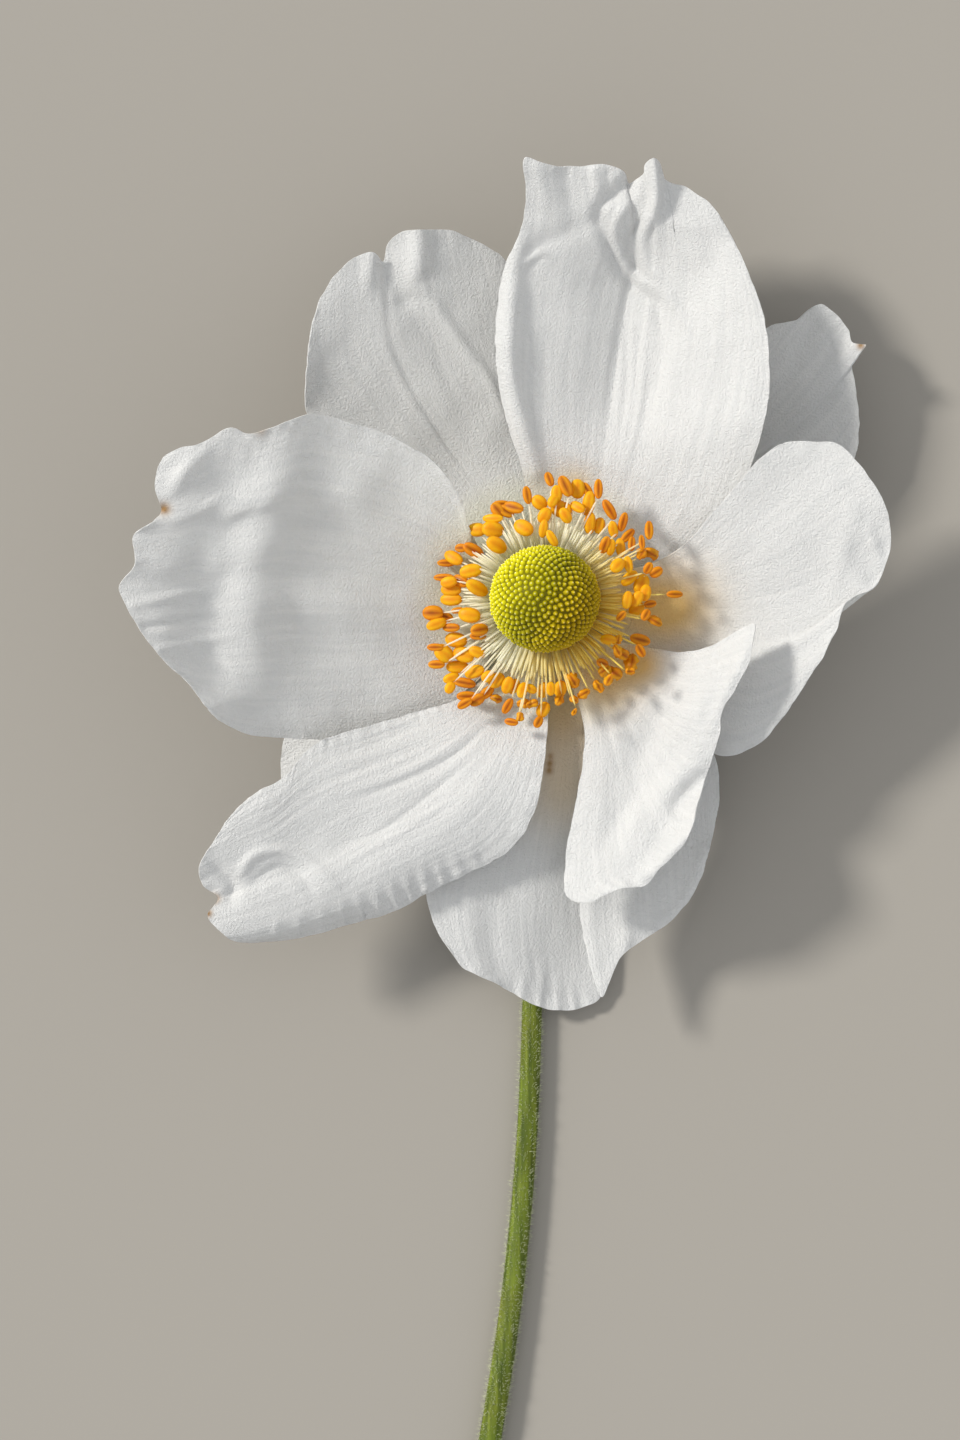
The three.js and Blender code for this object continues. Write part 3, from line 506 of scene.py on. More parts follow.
TEPALS["top"] = dict(
    facing=80, grip=1.5, shoulders=(8, 22), crinkle=1, streaks=0.9,
    floor=[(0, 7.1), (6, 6.6), (14, 7.2), (22, 8.4), (36, 12.2)],
    margin=[
        (-1, 5, 7), (-1.8, 10.7, 8), (-3.1, 14.7, 9), (-3.9, 19.1, 9.7), (-3.9, 23.1, 10.1),
        (-3.2, 27.2, 10.5), (-2, 29.9, 11.2), (-1.5, 32.7, 12.4), (-1.5, 35.7, 13.8), (0.3, 35.2, 13.4),
        (2.4, 35.1, 12.8), (4.9, 35.3, 12.8), (6.5, 34.7, 12.4), (6.9, 33.9, 11.8), (7.5, 34.2, 12.4),
        (8.1, 34.6, 12.8), (8.2, 35.3, 13.2), (8.8, 35.7, 13.3), (9.4, 35.3, 13.2), (9.5, 34.4, 12.9),
        (11.4, 33.6, 12.4), (13.5, 32.2, 12.2), (15.3, 29.3, 12), (16.9, 25.9, 11.9), (18, 22.3, 11.7),
        (18.3, 19.5, 11.3), (18.3, 16.7, 11), (17.6, 13.2, 10.6), (16.5, 9.8, 9.9), (14.6, 5.8, 8.4),
        (10.8, 2.4, 7.1), (6.4, 1.4, 6),
    ],
    folds=[
        (0.95, [(-1.6, 30.4, 0.3), (-2.4, 27.2, 0.8), (-2.8, 23, 1.1), (-2.8, 19, 1.1), (-2, 14.7, 0.9),
                (-0.7, 10.7, 0.5)]),
        (5.2, [(9.2, 31, -1), (8.4, 27, -2.5), (7.6, 22, -2.8), (6.4, 16, -2), (5, 11, -0.4)]),
        (0.6, [(7.1, 34.4, -0.58), (5.9, 33.2, -0.66), (4.8, 32.4, -0.58), (4.4, 31.4, -0.51),
               (4.8, 30.2, -0.43), (5.6, 28.6, -0.43), (6.5, 26.9, -0.43), (7.8, 25.5, -0.37),
               (9.1, 24.4, -0.37), (9.7, 22.8, -0.29), (9.8, 20.8, -0.26), (9.4, 18.6, -0.22),
               (8.6, 16, -0.14), (7.8, 13, 0)]),
        (0.4, [(7.6, 32.8, 0.16), (6.4, 31.7, 0.32), (5.7, 30.3, 0.38), (6.1, 28.6, 0.38), (7.1, 27, 0.32),
               (8.4, 25.9, 0.24), (10, 24.8, 0.16), (10.8, 22.6, 0)]),
        (0.35, [(7.8, 31, -0.22), (6.9, 29.6, -0.37), (6.9, 28.2, -0.29), (8, 26.7, -0.14)]),
        (0.42, [(8.8, 35.8, 0.9), (9, 34.2, 0.9), (9.1, 32.5, 0.9), (8.7, 31.1, 0.55), (8.1, 29.9, 0.42),
                (8, 28.7, 0.36), (8.5, 27.3, 0.3), (9.6, 26, 0.24), (10.7, 24.3, 0.22), (11.5, 22.4, 0.16),
                (11.6, 20, 0)]),
        (1.3, [(10.6, 33, -0.23), (10.3, 30.6, -0.36), (10.3, 28.4, -0.32), (11.5, 26.2, -0.23),
               (12.3, 23.6, -0.05)]),
        (1.3, [(14.8, 30.4, -0.09), (13.8, 27.9, -0.23), (12.9, 25.4, -0.18), (12.2, 22.4, 0)]),
        (0.8, [(-2.2, 26.4, -0.09), (-0.4, 28.7, -0.23), (1.3, 29.8, -0.23), (4.4, 31.1, -0.14)]),
        (0.3, [(-1.4, 27.6, 0.22), (-0.3, 28.3, 0.29), (0.4, 28.3, 0.08)]),
        (0.9, [(-0.6, 34.8, 0.14), (0.2, 32.4, 0.18), (1.2, 30.6, 0.09)]),
        (0.8, [(1.6, 34.4, -0.18), (2.2, 32.4, -0.14), (3, 31, 0)]),
        (0.4, [(4, 34.8, 0.22), (4.3, 32.8, 0.14)]), (0.3, [(5.1, 34.6, -0.14), (5.2, 33.2, -0.08)]),
        (0.25, [(6.4, 23, 0.03), (6.3, 17.5, 0.1), (5.4, 11, 0)]),
        (0.25, [(7.3, 22.5, 0.08), (7.2, 16.5, 0.1), (6, 10.6, 0)]),
        (0.3, [(8.3, 21, 0.08), (7.9, 16, 0.11), (6.6, 10.2, 0)]),
        (1.4, [(16.7, 23.4, 0.09), (16.9, 18.4, 0.23), (16.2, 13.8, 0.09)]),
        (2.6, [(1.8, 26, 0.23), (2.2, 23, 0.14)]),
    ],
    warm_shade=[(2.5, 9.4, 1.4, 0.5)],
)

TEPALS["left"] = dict(
    facing=178, grip=1.8, shoulders=(6, 16), crinkle=1.3, streaks=0.15,
    floor=[(0, 7.1), (6, 7.9), (13, 11), (20, 14.1), (33, 19.6)],
    margin=[
        (-3.4, -3.4, 6.4), (-6.4, -7.4, 6.2), (-11.2, -10.3, 6.6), (-15.9, -11.3, 7.7), (-21.3, -11.3, 9.7),
        (-24.7, -10.8, 12), (-27.1, -9.2, 14.2), (-28.6, -7.1, 15.8), (-31, -4.7, 17.4), (-32.9, -2, 18.6),
        (-34.1, 0.9, 19.2), (-32.9, 2.7, 19.4), (-33, 4.9, 19.6), (-31.4, 6.1, 19.4), (-30.8, 7, 19),
        (-31.3, 8.6, 19.2), (-30.6, 11.2, 19.4), (-27.3, 12.5, 19.2), (-25, 13.6, 19.2),
        (-24.1, 13.2, 18.8), (-21.9, 13.7, 17.5), (-18.8, 14.8, 16.3), (-15.7, 14.2, 14.9),
        (-11.7, 12.8, 13.4), (-8.9, 11, 12.7), (-6.9, 8.4, 11.3), (-6, 5.6, 9.8), (-4.6, 3.2, 8),
    ],
    folds=[
        (2.6, [(-21.1, 13.5, 0.5), (-21.8, 9, 1), (-22.6, 6, 1), (-23.5, 2, 1), (-23.9, -1.5, 0.9),
               (-23.6, -6, 0.5), (-23, -9, 0)]),
        (2.6, [(-24.6, 12.8, -0.4), (-25, 9, -0.9), (-25.7, 6, -0.9), (-26.6, 2, -0.9), (-27, -1.5, -0.8),
               (-26.9, -6, -0.5), (-26, -8.5, 0)]),
        (0.6, [(-30, 8.4, 0.2), (-28.8, 10.2, 0.49), (-27.4, 11.6, 0.2)]),
        (1.9, [(-24.6, 0.2, 0.2), (-17.6, -0.4, 0.55), (-12.6, -1.6, 0.4), (-8.6, -3.2, 0.1)]),
        (0.3, [(-8.2, 10.2, 0.15), (-6.6, 7.4, 0.2), (-6, 5, 0.15)]),
        (0.4, [(-33, -0.6, 0.2), (-29.5, 0.2, 0.25), (-25.5, 1, 0)]),
        (0.35, [(-32.2, -2.4, -0.2), (-28.6, -1.8, -0.2), (-25.8, -1.4, 0)]),
        (0.4, [(-31, -4.2, 0.2), (-27.6, -3.4, 0.2), (-24, -2.8, 0)]),
        (0.5, [(-31.2, 6.8, -0.3), (-28.8, 6.6, -0.15), (-26.4, 6, 0)]),
        (0.5, [(-24.2, 13, -0.12), (-23.4, 11.4, -0.06), (-22.4, 9.8, 0)]),
        (2.4, [(-15.5, 8.5, 0.38), (-13.6, 4.5, 0.3), (-12, 1.5, 0)]),
    ],
    stains=[(-30.6, 7.1, 0.5, 1), (-22.9, 13.5, 0.5, 0.4)],
)

TEPALS["lower_left"] = dict(
    facing=232, grip=2, shoulders=(11, 18), crinkle=2, streaks=1.1,
    floor=[(0, 7.5), (6, 7.9), (14, 8.9), (24, 10.2), (36, 11.6)],
    margin=[
        (-0.2, -4.6, 7.8), (0.3, -7.6, 8.4), (0.2, -11.5, 9), (-0.2, -14.8, 9.2), (-1.1, -18, 8.5),
        (-3.2, -20.8, 7.5), (-6.1, -22.3, 7.2), (-9.5, -24, 7.1), (-12.2, -25.5, 6.9), (-16.3, -26.7, 6.9),
        (-19.9, -27.7, 7.4), (-23.6, -28, 8.4), (-26, -27.5, 10.8), (-27.4, -25.6, 11.5),
        (-26.6, -24.4, 11.1), (-27.8, -23.3, 11.8), (-28.1, -21.8, 12.4), (-26.9, -19.7, 12.6),
        (-25.4, -17.5, 12.4), (-23.3, -15.6, 12), (-21.2, -14.5, 11.5), (-19.7, -12.7, 11),
        (-18.3, -11.6, 10.4), (-14.6, -10.4, 9.4), (-10.6, -9.2, 8.7), (-6.9, -8, 8.4), (-4, -5.2, 8),
    ],
    folds=[
        (0.35, [(-4.3, -10, -0.05), (-7.5, -12.8, -0.2), (-9.5, -13.9, -0.2), (-13.1, -15.4, -0.17),
                (-16.4, -16.6, 0)]),
        (0.35, [(-5.4, -12.6, 0), (-8.4, -15.2, -0.15), (-11.5, -17.6, -0.17), (-13.8, -19.2, -0.15),
                (-16.8, -20.1, 0)]),
        (0.5, [(-8.4, -9.8, -0.05), (-11.6, -10.9, -0.15), (-15, -12.2, -0.15), (-19.5, -13, 0)]),
        (0.3, [(-5.2, -10.2, 0), (-8.6, -12.6, 0.1), (-12, -14.4, 0.12), (-16, -15.8, 0.05)]),
        (0.4, [(-8.6, -11, 0), (-12.6, -12.8, -0.12), (-16.4, -14.4, -0.1), (-20, -16, 0)]),
        (0.3, [(-6, -14.4, 0), (-9, -17.2, 0.1), (-12.4, -19.4, 0.1), (-16, -21.2, 0.05)]),
        (0.6, [(-27.6, -21, -0.2), (-26.4, -22, -0.48), (-25.4, -23.2, -0.48), (-25.6, -24.4, -0.3)]),
        (0.4, [(-24.8, -22.4, 0.18), (-23.9, -21, 0.34), (-21.6, -20.4, 0.3), (-19.3, -21.3, 0.24),
               (-17.1, -23.2, 0.08)]),
        (0.4, [(-23.6, -22.8, -0.15), (-21.6, -21.8, -0.26), (-19.6, -22.8, -0.2), (-18.6, -24.8, 0)]),
        (0.3, [(-22.8, -23.6, 0.08), (-21.2, -23, 0.12), (-19.6, -24.4, 0.05)]),
        (2.4, [(-3.4, -13.4, 0.4), (-7.2, -17.6, 0.5), (-12, -21, 0.6), (-17, -22.8, 0.6)]),
        (0.3, [(-5.4, -21.9, 0.25), (-6.3, -20.1, 0)]), (0.3, [(-6.9, -22.4, 0.29), (-7.7, -20.4, 0)]),
        (0.25, [(-8.2, -23.1, 0.35), (-9, -20.8, 0)]), (0.35, [(-9.6, -23.8, 0.39), (-10.2, -21.3, 0)]),
        (0.3, [(-10.8, -24.5, 0.39), (-11.5, -22.1, 0)]), (0.3, [(-12, -25.2, 0.39), (-12.8, -22.5, 0)]),
        (0.35, [(-13.4, -25.6, 0.39), (-14, -23.2, 0)]), (0.25, [(-14.7, -26, 0.35), (-15.5, -23.6, 0)]),
        (0.3, [(-16.2, -26.5, 0.35), (-16.8, -24.2, 0)]), (0.35, [(-18, -27, 0.29), (-18.4, -24.9, 0)]),
        (0.3, [(-20, -27.4, 0.25), (-20.2, -25.4, 0)]), (0.3, [(-22, -27.6, 0.25), (-21.8, -25.6, 0)]),
    ],
    stains=[(-26.9, -24.4, 0.4, 1), (-27.4, -25.6, 0.3, 1)],
)

TEPALS["right"] = dict(
    facing=0, grip=2, shoulders=(6, 19), crinkle=1, streaks=0.12,
    floor=[(0, 7.4), (6, 7.2), (12, 8), (20, 10), (28, 12.5)],
    margin=[
        (5, 2.2, 7.2), (8.7, 2.9, 8), (11.2, 4.3, 9), (13.7, 7, 10.2), (16, 9.7, 11.3), (17.5, 11.4, 11.9),
        (19.6, 12.7, 12.2), (21.5, 12.8, 12.3), (23.8, 12.6, 12.5), (25.2, 11.4, 12.6), (26.4, 9.8, 12.6),
        (27.7, 7.6, 12.4), (28.2, 4.8, 11.8), (27.7, 2.5, 11.4), (27.1, 1.2, 11.2), (24.6, -0.3, 11.2),
        (24, -1.9, 11), (23, -4.1, 10.8), (21.4, -6.8, 10.2), (19.7, -9.3, 9.6), (17.4, -11.9, 9),
        (14.6, -12.8, 8.4), (12, -11.1, 7.6), (9.5, -8.4, 6.9), (7.2, -5.2, 6.6), (4.8, -2.8, 6.8),
    ],
    folds=[
        (0.8, [(28.2, 7, 0), (27.4, 5.6, -0.1), (27.9, 4.2, -0.16)]),
        (0.9, [(25, 4.4, -0.1), (25.9, 3.2, -0.26), (26.9, 1.8, -0.3)]),
        (0.45, [(26.4, 5.6, 0.08), (26.9, 4.4, 0.16), (27.3, 3.2, 0.12)]),
        (0.8, [(25.6, 9.4, 0), (24.4, 4, 0.21), (23.4, 0.4, 0.06)]), (3, [(16, 4, 0.24), (20, 5, 0.24)]),
        (1.2, [(19.6, 12, 0), (18, 6, -0.12), (15, 1.6, 0)]),
    ],
    warm_shade=[(7.6, -0.4, 3, 0.7), (10.9, -0.7, 3.1, 0.9)],
)

TEPALS["lower_right"] = dict(
    facing=300, grip=1.8, shoulders=(6, 21), crinkle=1.2, streaks=0.35,
    floor=[(0, 7.6), (6, 7.9), (12, 8.4), (18, 8.7), (26, 9.6)],
    margin=[
        (4.6, -2.8, 8), (6.6, -3.5, 8.3), (9, -4, 9.1), (11.5, -4.3, 10), (13.6, -3.8, 11),
        (15.5, -2.7, 11.9), (17.1, -2.1, 12.5), (17, -3.2, 12.7), (16.6, -5, 13), (15.5, -7.3, 12.7),
        (14.5, -8.9, 12.4), (14.2, -11.1, 11.9), (13.7, -12.9, 11.4), (13, -15.1, 11.4), (12.4, -17, 11.5),
        (12.2, -18, 11.6), (11.2, -20.1, 11.5), (9.5, -21.8, 11.2), (8.2, -23.3, 10.9), (6.3, -23.6, 10.7),
        (4.5, -24.3, 10.4), (3.3, -24.8, 10.2), (1.9, -24.3, 9.9), (1.7, -22, 9.6), (2.2, -18.4, 9.3),
        (3, -14.4, 8.9), (3.3, -10.7, 8.7), (2, -6.4, 8.2),
    ],
    folds=[
        (0.9, [(14, -8.9, -0.11), (10.6, -12.8, -0.22), (5.8, -18.4, -0.22), (3.6, -22.4, -0.06)]),
        (1.6, [(11, -6, -0.2), (9.3, -10.5, -0.7), (7.6, -14, -0.6), (5.6, -18, -0.2)]),
        (0.5, [(16.6, -2.8, 0.12), (15.9, -5.2, 0.28), (14.6, -7.8, 0.28), (13.6, -10.4, 0.17)]),
        (0.9, [(14, -14.2, -0.6), (12.6, -15, -0.95), (11.2, -16.4, -0.8), (10.2, -18, -0.2)]),
        (0.5, [(12.8, -16.9, 0.5), (12.3, -18.4, 0.6), (11, -19.9, 0.5), (9.4, -21.6, 0.35),
               (8, -22.9, 0.2)]),
        (0.5, [(6.4, -23.4, 0.17), (4.8, -24, 0.17), (3, -24.6, 0.11)]),
        (0.8, [(9.8, -18.6, -0.17), (8.6, -20.4, -0.22), (7.2, -22, -0.11)]),
        (0.6, [(8, -16.2, 0), (7.2, -18.4, 0.14), (6.4, -20.8, 0.06)]),
        (0.3, [(5.6, -8, 0), (7.2, -11, -0.08), (8.8, -13.6, 0)]),
        (0.3, [(4.6, -8.6, 0), (5.6, -12, -0.08), (6.4, -15.4, 0)]),
        (0.3, [(6.8, -6.8, 0), (9.4, -9.4, -0.07), (11.4, -11.6, 0)]),
    ],
    warm_shade=[(4.8, -6.4, 2.6, 0.95), (8, -5.2, 1.8, 0.9)],
)


def floor_height(floor, distance):
    """Height of a floor at each distance, eased between its stations."""
    d, z = np.array(floor, float).T
    after = np.minimum(np.arange(len(d)) + 1, len(d) - 1)
    before = np.maximum(np.arange(len(d)) - 1, 0)
    slope = (z[after] - z[before]) / (d[after] - d[before])
    i = np.clip(np.searchsorted(d, distance, side="right") - 1, 0, len(d) - 2)
    span = d[i + 1] - d[i]
    u = np.clip((distance - d[i]) / span, 0, 1)
    eased = z[i] * (1 + 2 * u) * (1 - u) ** 2 + z[i + 1] * u**2 * (3 - 2 * u)
    eased += span * (slope[i] * u * (1 - u) ** 2 - slope[i + 1] * u**2 * (1 - u))
    return eased + np.maximum(distance - d[-1], 0) * slope[-1]


def fold_height(x, y, width, path):
    """How far a ridge or groove along a path lifts each point of a blade."""
    nearest = np.full(x.shape, np.inf)
    lift = np.zeros(x.shape)
    path = through(path, np.linspace(0, 1, 4 * len(path) + 2))
    for (x0, y0, h0), (x1, y1, h1) in zip(path, path[1:]):
        dx, dy = x1 - x0, y1 - y0
        u = np.clip(((x - x0) * dx + (y - y0) * dy) / (dx * dx + dy * dy), 0, 1)
        away = np.hypot(x - x0 - u * dx, y - y0 - u * dy)
        closer = away < nearest
        nearest = np.where(closer, away, nearest)
        lift = np.where(closer, h0 + (h1 - h0) * u, lift)
    return lift * np.exp(-((nearest / width) ** 2))


def ripples(across, along, size, lean, chance):
    """Irregular waves of about one size, whose crests lean up to so many degrees from along."""
    total = np.zeros(across.shape)
    for _ in range(WAVES):
        way = math.radians(chance.uniform(-lean, lean))
        turns = (across * math.cos(way) + along * math.sin(way)) / (size * chance.uniform(0.7, 1.5))
        total += np.sin(2 * math.pi * turns + chance.uniform(0, 2 * math.pi))
    return total / math.sqrt(WAVES)


def blade_points(shape, chance):
    """A tepal's grid of points from its claw to its tip, its vein map, and how far in each is."""
    azimuth = math.radians(shape["facing"])
    claw = CLAW_DISTANCE * np.array([math.cos(azimuth), math.sin(azimuth)])
    along = CLAW_WIDTH * np.array([math.sin(azimuth), -math.cos(azimuth)])
    start = (*(claw - along / 2), shape["floor"][0][1])
    end = (*(claw + along / 2), shape["floor"][0][1])
    rim = [start, *shape["margin"], end]
    reached = np.cumsum(np.linalg.norm(np.diff(np.array(rim), axis=0), axis=1))
    first, last = (reached[k] / reached[-1] for k in shape["shoulders"])
    u = np.linspace(0, 1, STEPS_ACROSS)[None, :]
    v = np.linspace(0, 1, STEPS_OUT)[:, None]
    left = through(rim, first * v[:, 0])[:, None]
    right = through(rim, 1 - (1 - last) * v[:, 0])[:, None]
    tip = through(rim, first + (last - first) * u[0])[None]
    root = left[:1] * (1 - u[..., None]) + right[:1] * u[..., None]

    def stretched(left, right, root, tip, pull):
        """A sheet between four border lines, which take hold the closer to them the higher pull."""
        by_left, by_right, by_tip = (1 - u) ** pull, u**pull, v**pull
        corner_left, corner_right = tip[:, :1], tip[:, -1:]
        if left.ndim == 3:
            by_left, by_right, by_tip = by_left[..., None], by_right[..., None], by_tip[..., None]
        sides = left * by_left + right * by_right
        ends = (tip - corner_left * by_left - corner_right * by_right) * by_tip
        return sides + ends + (root - left[:1] * by_left - right[:1] * by_right) * (1 - by_tip)

    x, y = np.moveaxis(stretched(left[..., :2], right[..., :2], root[..., :2], tip[..., :2], 1), 2, 0)

    def lift(border):
        """How far a border line stands above the tepal's floor."""
        away = np.hypot(border[..., 0] - claw[0], border[..., 1] - claw[1])
        return border[..., 2] - floor_height(shape["floor"], away)

    forward = np.hypot(x - claw[0], y - claw[1])
    z = floor_height(shape["floor"], forward)
    z = z + stretched(lift(left), lift(right), lift(root) * 0, lift(tip), shape["grip"])

    across = (u - 0.5) * VEINED_WIDTH + 0 * v
    side_length, tip_length = first * reached[-1], (last - first) * reached[-1]
    to_side = np.minimum(u, 1 - u) * tip_length + 0 * v
    to_tip = (1 - v) * side_length + 0 * u
    by_side, by_tip = np.exp(-to_side / EDGE_WIDTH), np.exp(-to_tip / EDGE_WIDTH)
    edge = np.maximum(by_side, by_tip) * np.clip((forward - CALM_MARGIN[0]) / CALM_MARGIN[1], 0, 1)
    x = x + RAGGEDNESS * edge**2 * ripples(x, y, 1.8, ANY_WAY, chance)
    y = y + RAGGEDNESS * edge**2 * ripples(x, y, 1.8, ANY_WAY, chance)
    soft = np.clip((forward - CALM_FACE[0]) / CALM_FACE[1], 0, 1)
    veined, crimped = soft * shape["streaks"], soft * shape["crinkle"]
    # the height, place, two directions, size and lean of its swells, streaks, crinkles and crimps
    for height, where, over, out, size, lean in (
        (0.11, soft, x, y, 8, ANY_WAY),
        (0.016, soft, x, y, 3, ANY_WAY),
        (0.011, veined, across, forward * VEIN_STRETCH, 1.1, 50),
        (0.005, veined, across, forward * VEIN_STRETCH, 0.45, 50),
        (0.04, edge * shape["crinkle"], x, y, 2.4, ANY_WAY),
        (0.016, crimped * by_side, to_tip, to_side * CRIMP_STRETCH, 1.1, 35),
        (0.016, crimped * by_tip, to_side, to_tip * CRIMP_STRETCH, 1.1, 35),
    ):
        z = z + height * where * ripples(over, out, size, lean, chance)
    for width, path in shape.get("folds", []):
        z = z + fold_height(x, y, width, path)
    inside = np.minimum(np.minimum(to_side, to_tip) / THIN_MARGIN, 1)
    return np.stack([x, y, z], axis=2), np.stack([across, forward], axis=2), inside


def silk_group():
    """Veins along a tepal, from its own (around, out) map, and the silky grain of its cells."""
    group = bpy.data.node_groups.new("silk", "ShaderNodeTree")
    for way, names in (("INPUT", ("Across", "Grain Scale")), ("OUTPUT", ("Veins", "Grain"))):
        for name in names:
            group.interface.new_socket(name, in_out=way, socket_type="NodeSocketFloat")
    inside = add_node(group, "NodeGroupInput").outputs
    outside = add_node(group, "NodeGroupOutput").inputs
    place = add_node(group, "ShaderNodeTexCoord").outputs
    parts = add_node(group, "ShaderNodeSeparateXYZ", Vector=place["UV"]).outputs
    wide = add_node(group, "ShaderNodeMath", operation="MULTIPLY")
    group.links.new(parts["X"], wide.inputs[0])
    group.links.new(inside["Across"], wide.inputs[1])
    narrow = add_node(group, "ShaderNodeMath", operation="MULTIPLY")
    group.links.new(parts["Y"], narrow.inputs[0])
    narrow.inputs[1].default_value = VEINS_ALONG
    drawn_out = add_node(group, "ShaderNodeCombineXYZ", X=wide.outputs[0], Y=narrow.outputs[0])
    veins = {"Scale": 1, "Detail": 4, "Roughness": 0.6, "Vector": drawn_out.outputs[0]}
    grain = {"Scale": inside["Grain Scale"], "Detail": 3, "Roughness": 0.7, "Vector": place["Object"]}
    for name, noise, low, high in (("Veins", veins, 0.36, 0.64), ("Grain", grain, 0.30, 0.70)):
        texture = add_node(group, "ShaderNodeTexNoise", **noise).outputs["Fac"]
        clearer = {"Value": texture, "From Min": low, "From Max": high}
        clearer = add_node(group, "ShaderNodeMapRange", **clearer)
        group.links.new(clearer.outputs["Result"], outside[name])
    return group


def let_light_through(tree, skin, share, **values):
    """Lets a share of the light that falls on a material's back show on its front."""
    behind = add_node(tree, "ShaderNodeBsdfTranslucent", **values)
    blend = add_node(tree, "ShaderNodeMixShader", Fac=share)
    tree.links.new(skin.outputs[0], blend.inputs[1])
    tree.links.new(behind.outputs[0], blend.inputs[2])
    tree.links.new(blend.outputs[0], tree.nodes["Material Output"].inputs["Surface"])


def tepal_material(name, silk, white, shade, claw_tint, vein_depth):
    """White tepal tissue: silky, veined, green towards the claw with painted warm light there too, painted
    warm shade under the stamens, brown stains, and lit through from behind.
    """
    material, tree, skin = new_material(name, 0.34, 0.5)
    weave = {"node_tree": silk, "Across": VEINS_ACROSS, "Grain Scale": CELL_SCALE}
    weave = add_node(tree, "ShaderNodeGroup", **weave).outputs
    place = add_node(tree, "ShaderNodeTexCoord").outputs["UV"]
    parts = add_node(tree, "ShaderNodeSeparateXYZ", Vector=place).outputs
    # The claw's tint: partly its own green-yellow, partly painted warm light from the stamens.
    near_claw = {
        "Value": parts["Y"],
        "From Min": 0.5 + CLAW_TINT[1] / MAP_SIZE, "From Max": 0.5 + CLAW_TINT[0] / MAP_SIZE,
    }
    near_claw = add_node(tree, "ShaderNodeMapRange", **near_claw).outputs["Result"]
    tinted = mixed(tree, near_claw, mixed(tree, weave["Veins"], white, shade), claw_tint)
    # Painted warm shade under the stamens, then the blade's own brown stains.
    warm_shaded = mixed(tree, painted(tree, "warm_shade"), tinted, (0.93, 0.61, 0.17, 1))
    stained = mixed(tree, painted(tree, "stain"), warm_shaded, (0.46, 0.24, 0.06, 1))
    cells = {"Strength": 1, "Distance": 0.09 * MM, "Height": weave["Grain"]}
    cells = add_node(tree, "ShaderNodeBump", **cells).outputs["Normal"]
    relief = {"Strength": vein_depth, "Distance": 0.05 * MM, "Height": weave["Veins"], "Normal": cells}
    relief = add_node(tree, "ShaderNodeBump", **relief).outputs["Normal"]
    fill(tree, skin, {"Sheen Weight": 0.15, "Base Color": stained, "Normal": relief})
    let_light_through(tree, skin, 0.26, Color=stained, Normal=relief)
    return material


silk = silk_group()
tepal_face = tepal_material(
    "tepal_face", silk, (0.94, 0.94, 0.935, 1), (0.88, 0.885, 0.885, 1), (0.93, 0.90, 0.60, 1), 0.34
)
tepal_back = tepal_material(
    "tepal_back", silk, (0.90, 0.90, 0.89, 1), (0.76, 0.77, 0.74, 1), (0.72, 0.76, 0.42, 1), 0.6
)

for number, (where, shape) in enumerate(TEPALS.items()):
    bpy.ops.object.select_all(action="DESELECT")
    bpy.ops.mesh.primitive_grid_add(
        x_subdivisions=STEPS_ACROSS - 1, y_subdivisions=STEPS_OUT - 1, size=1
    )
    blade = bpy.context.object
    blade.name = f"{where}_blade"
    blade.data.name = blade.name
    points, veins, inside = blade_points(shape, np.random.default_rng(20 + number))
    points, veins, inside = points.reshape(-1, 3), veins.reshape(-1, 2), inside.ravel()
    blade.data.vertices.foreach_set("co", framed(points).ravel())
    corners = np.empty(len(blade.data.loops), int)
    blade.data.loops.foreach_get("vertex_index", corners)
    blade.data.uv_layers[0].data.foreach_set("uv", (veins[corners] / MAP_SIZE + 0.5).ravel())
    # Masks for the blade's own brown stains and for the painted warm shade under the stamens.
    stains, warm_shade = shape.get("stains", []), shape.get("warm_shade", [])
    for mark, places, most in (("stain", stains, 1), ("warm_shade", warm_shade, WARM_SHADE_STRENGTH)):
        amount = np.zeros(len(points))
        for x, y, radius, strength in places:
            away = np.hypot(points[:, 0] - x, points[:, 1] - y)
            amount += strength * np.exp(-((away / radius) ** 2))
        marked = blade.data.attributes.new(mark, "FLOAT", "POINT")
        marked.data.foreach_set("value", most * np.clip(amount, 0, 1))
    thick = blade.vertex_groups.new(name="thick")
    levels = np.round(np.clip(inside, 0, 1) * THICKNESS_LEVELS).astype(int)
    for level in range(THICKNESS_LEVELS + 1):
        thick.add(np.flatnonzero(levels == level).tolist(), level / THICKNESS_LEVELS, "REPLACE")
    blade.data.materials.append(tepal_face)
    blade.data.materials.append(tepal_back)
    wall = blade.modifiers.new("wall", "SOLIDIFY")
    wall.thickness = BLADE_THICKNESS * MM
    wall.offset = 0
    wall.vertex_group = "thick"
    wall.thickness_vertex_group = MARGIN_THINNESS
    wall.material_offset = 1
    bpy.ops.object.modifier_apply(modifier="wall")
    bpy.ops.object.shade_smooth_by_angle(angle=math.radians(70))
    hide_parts(f"tepal_{where}")
    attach(blade, "root")


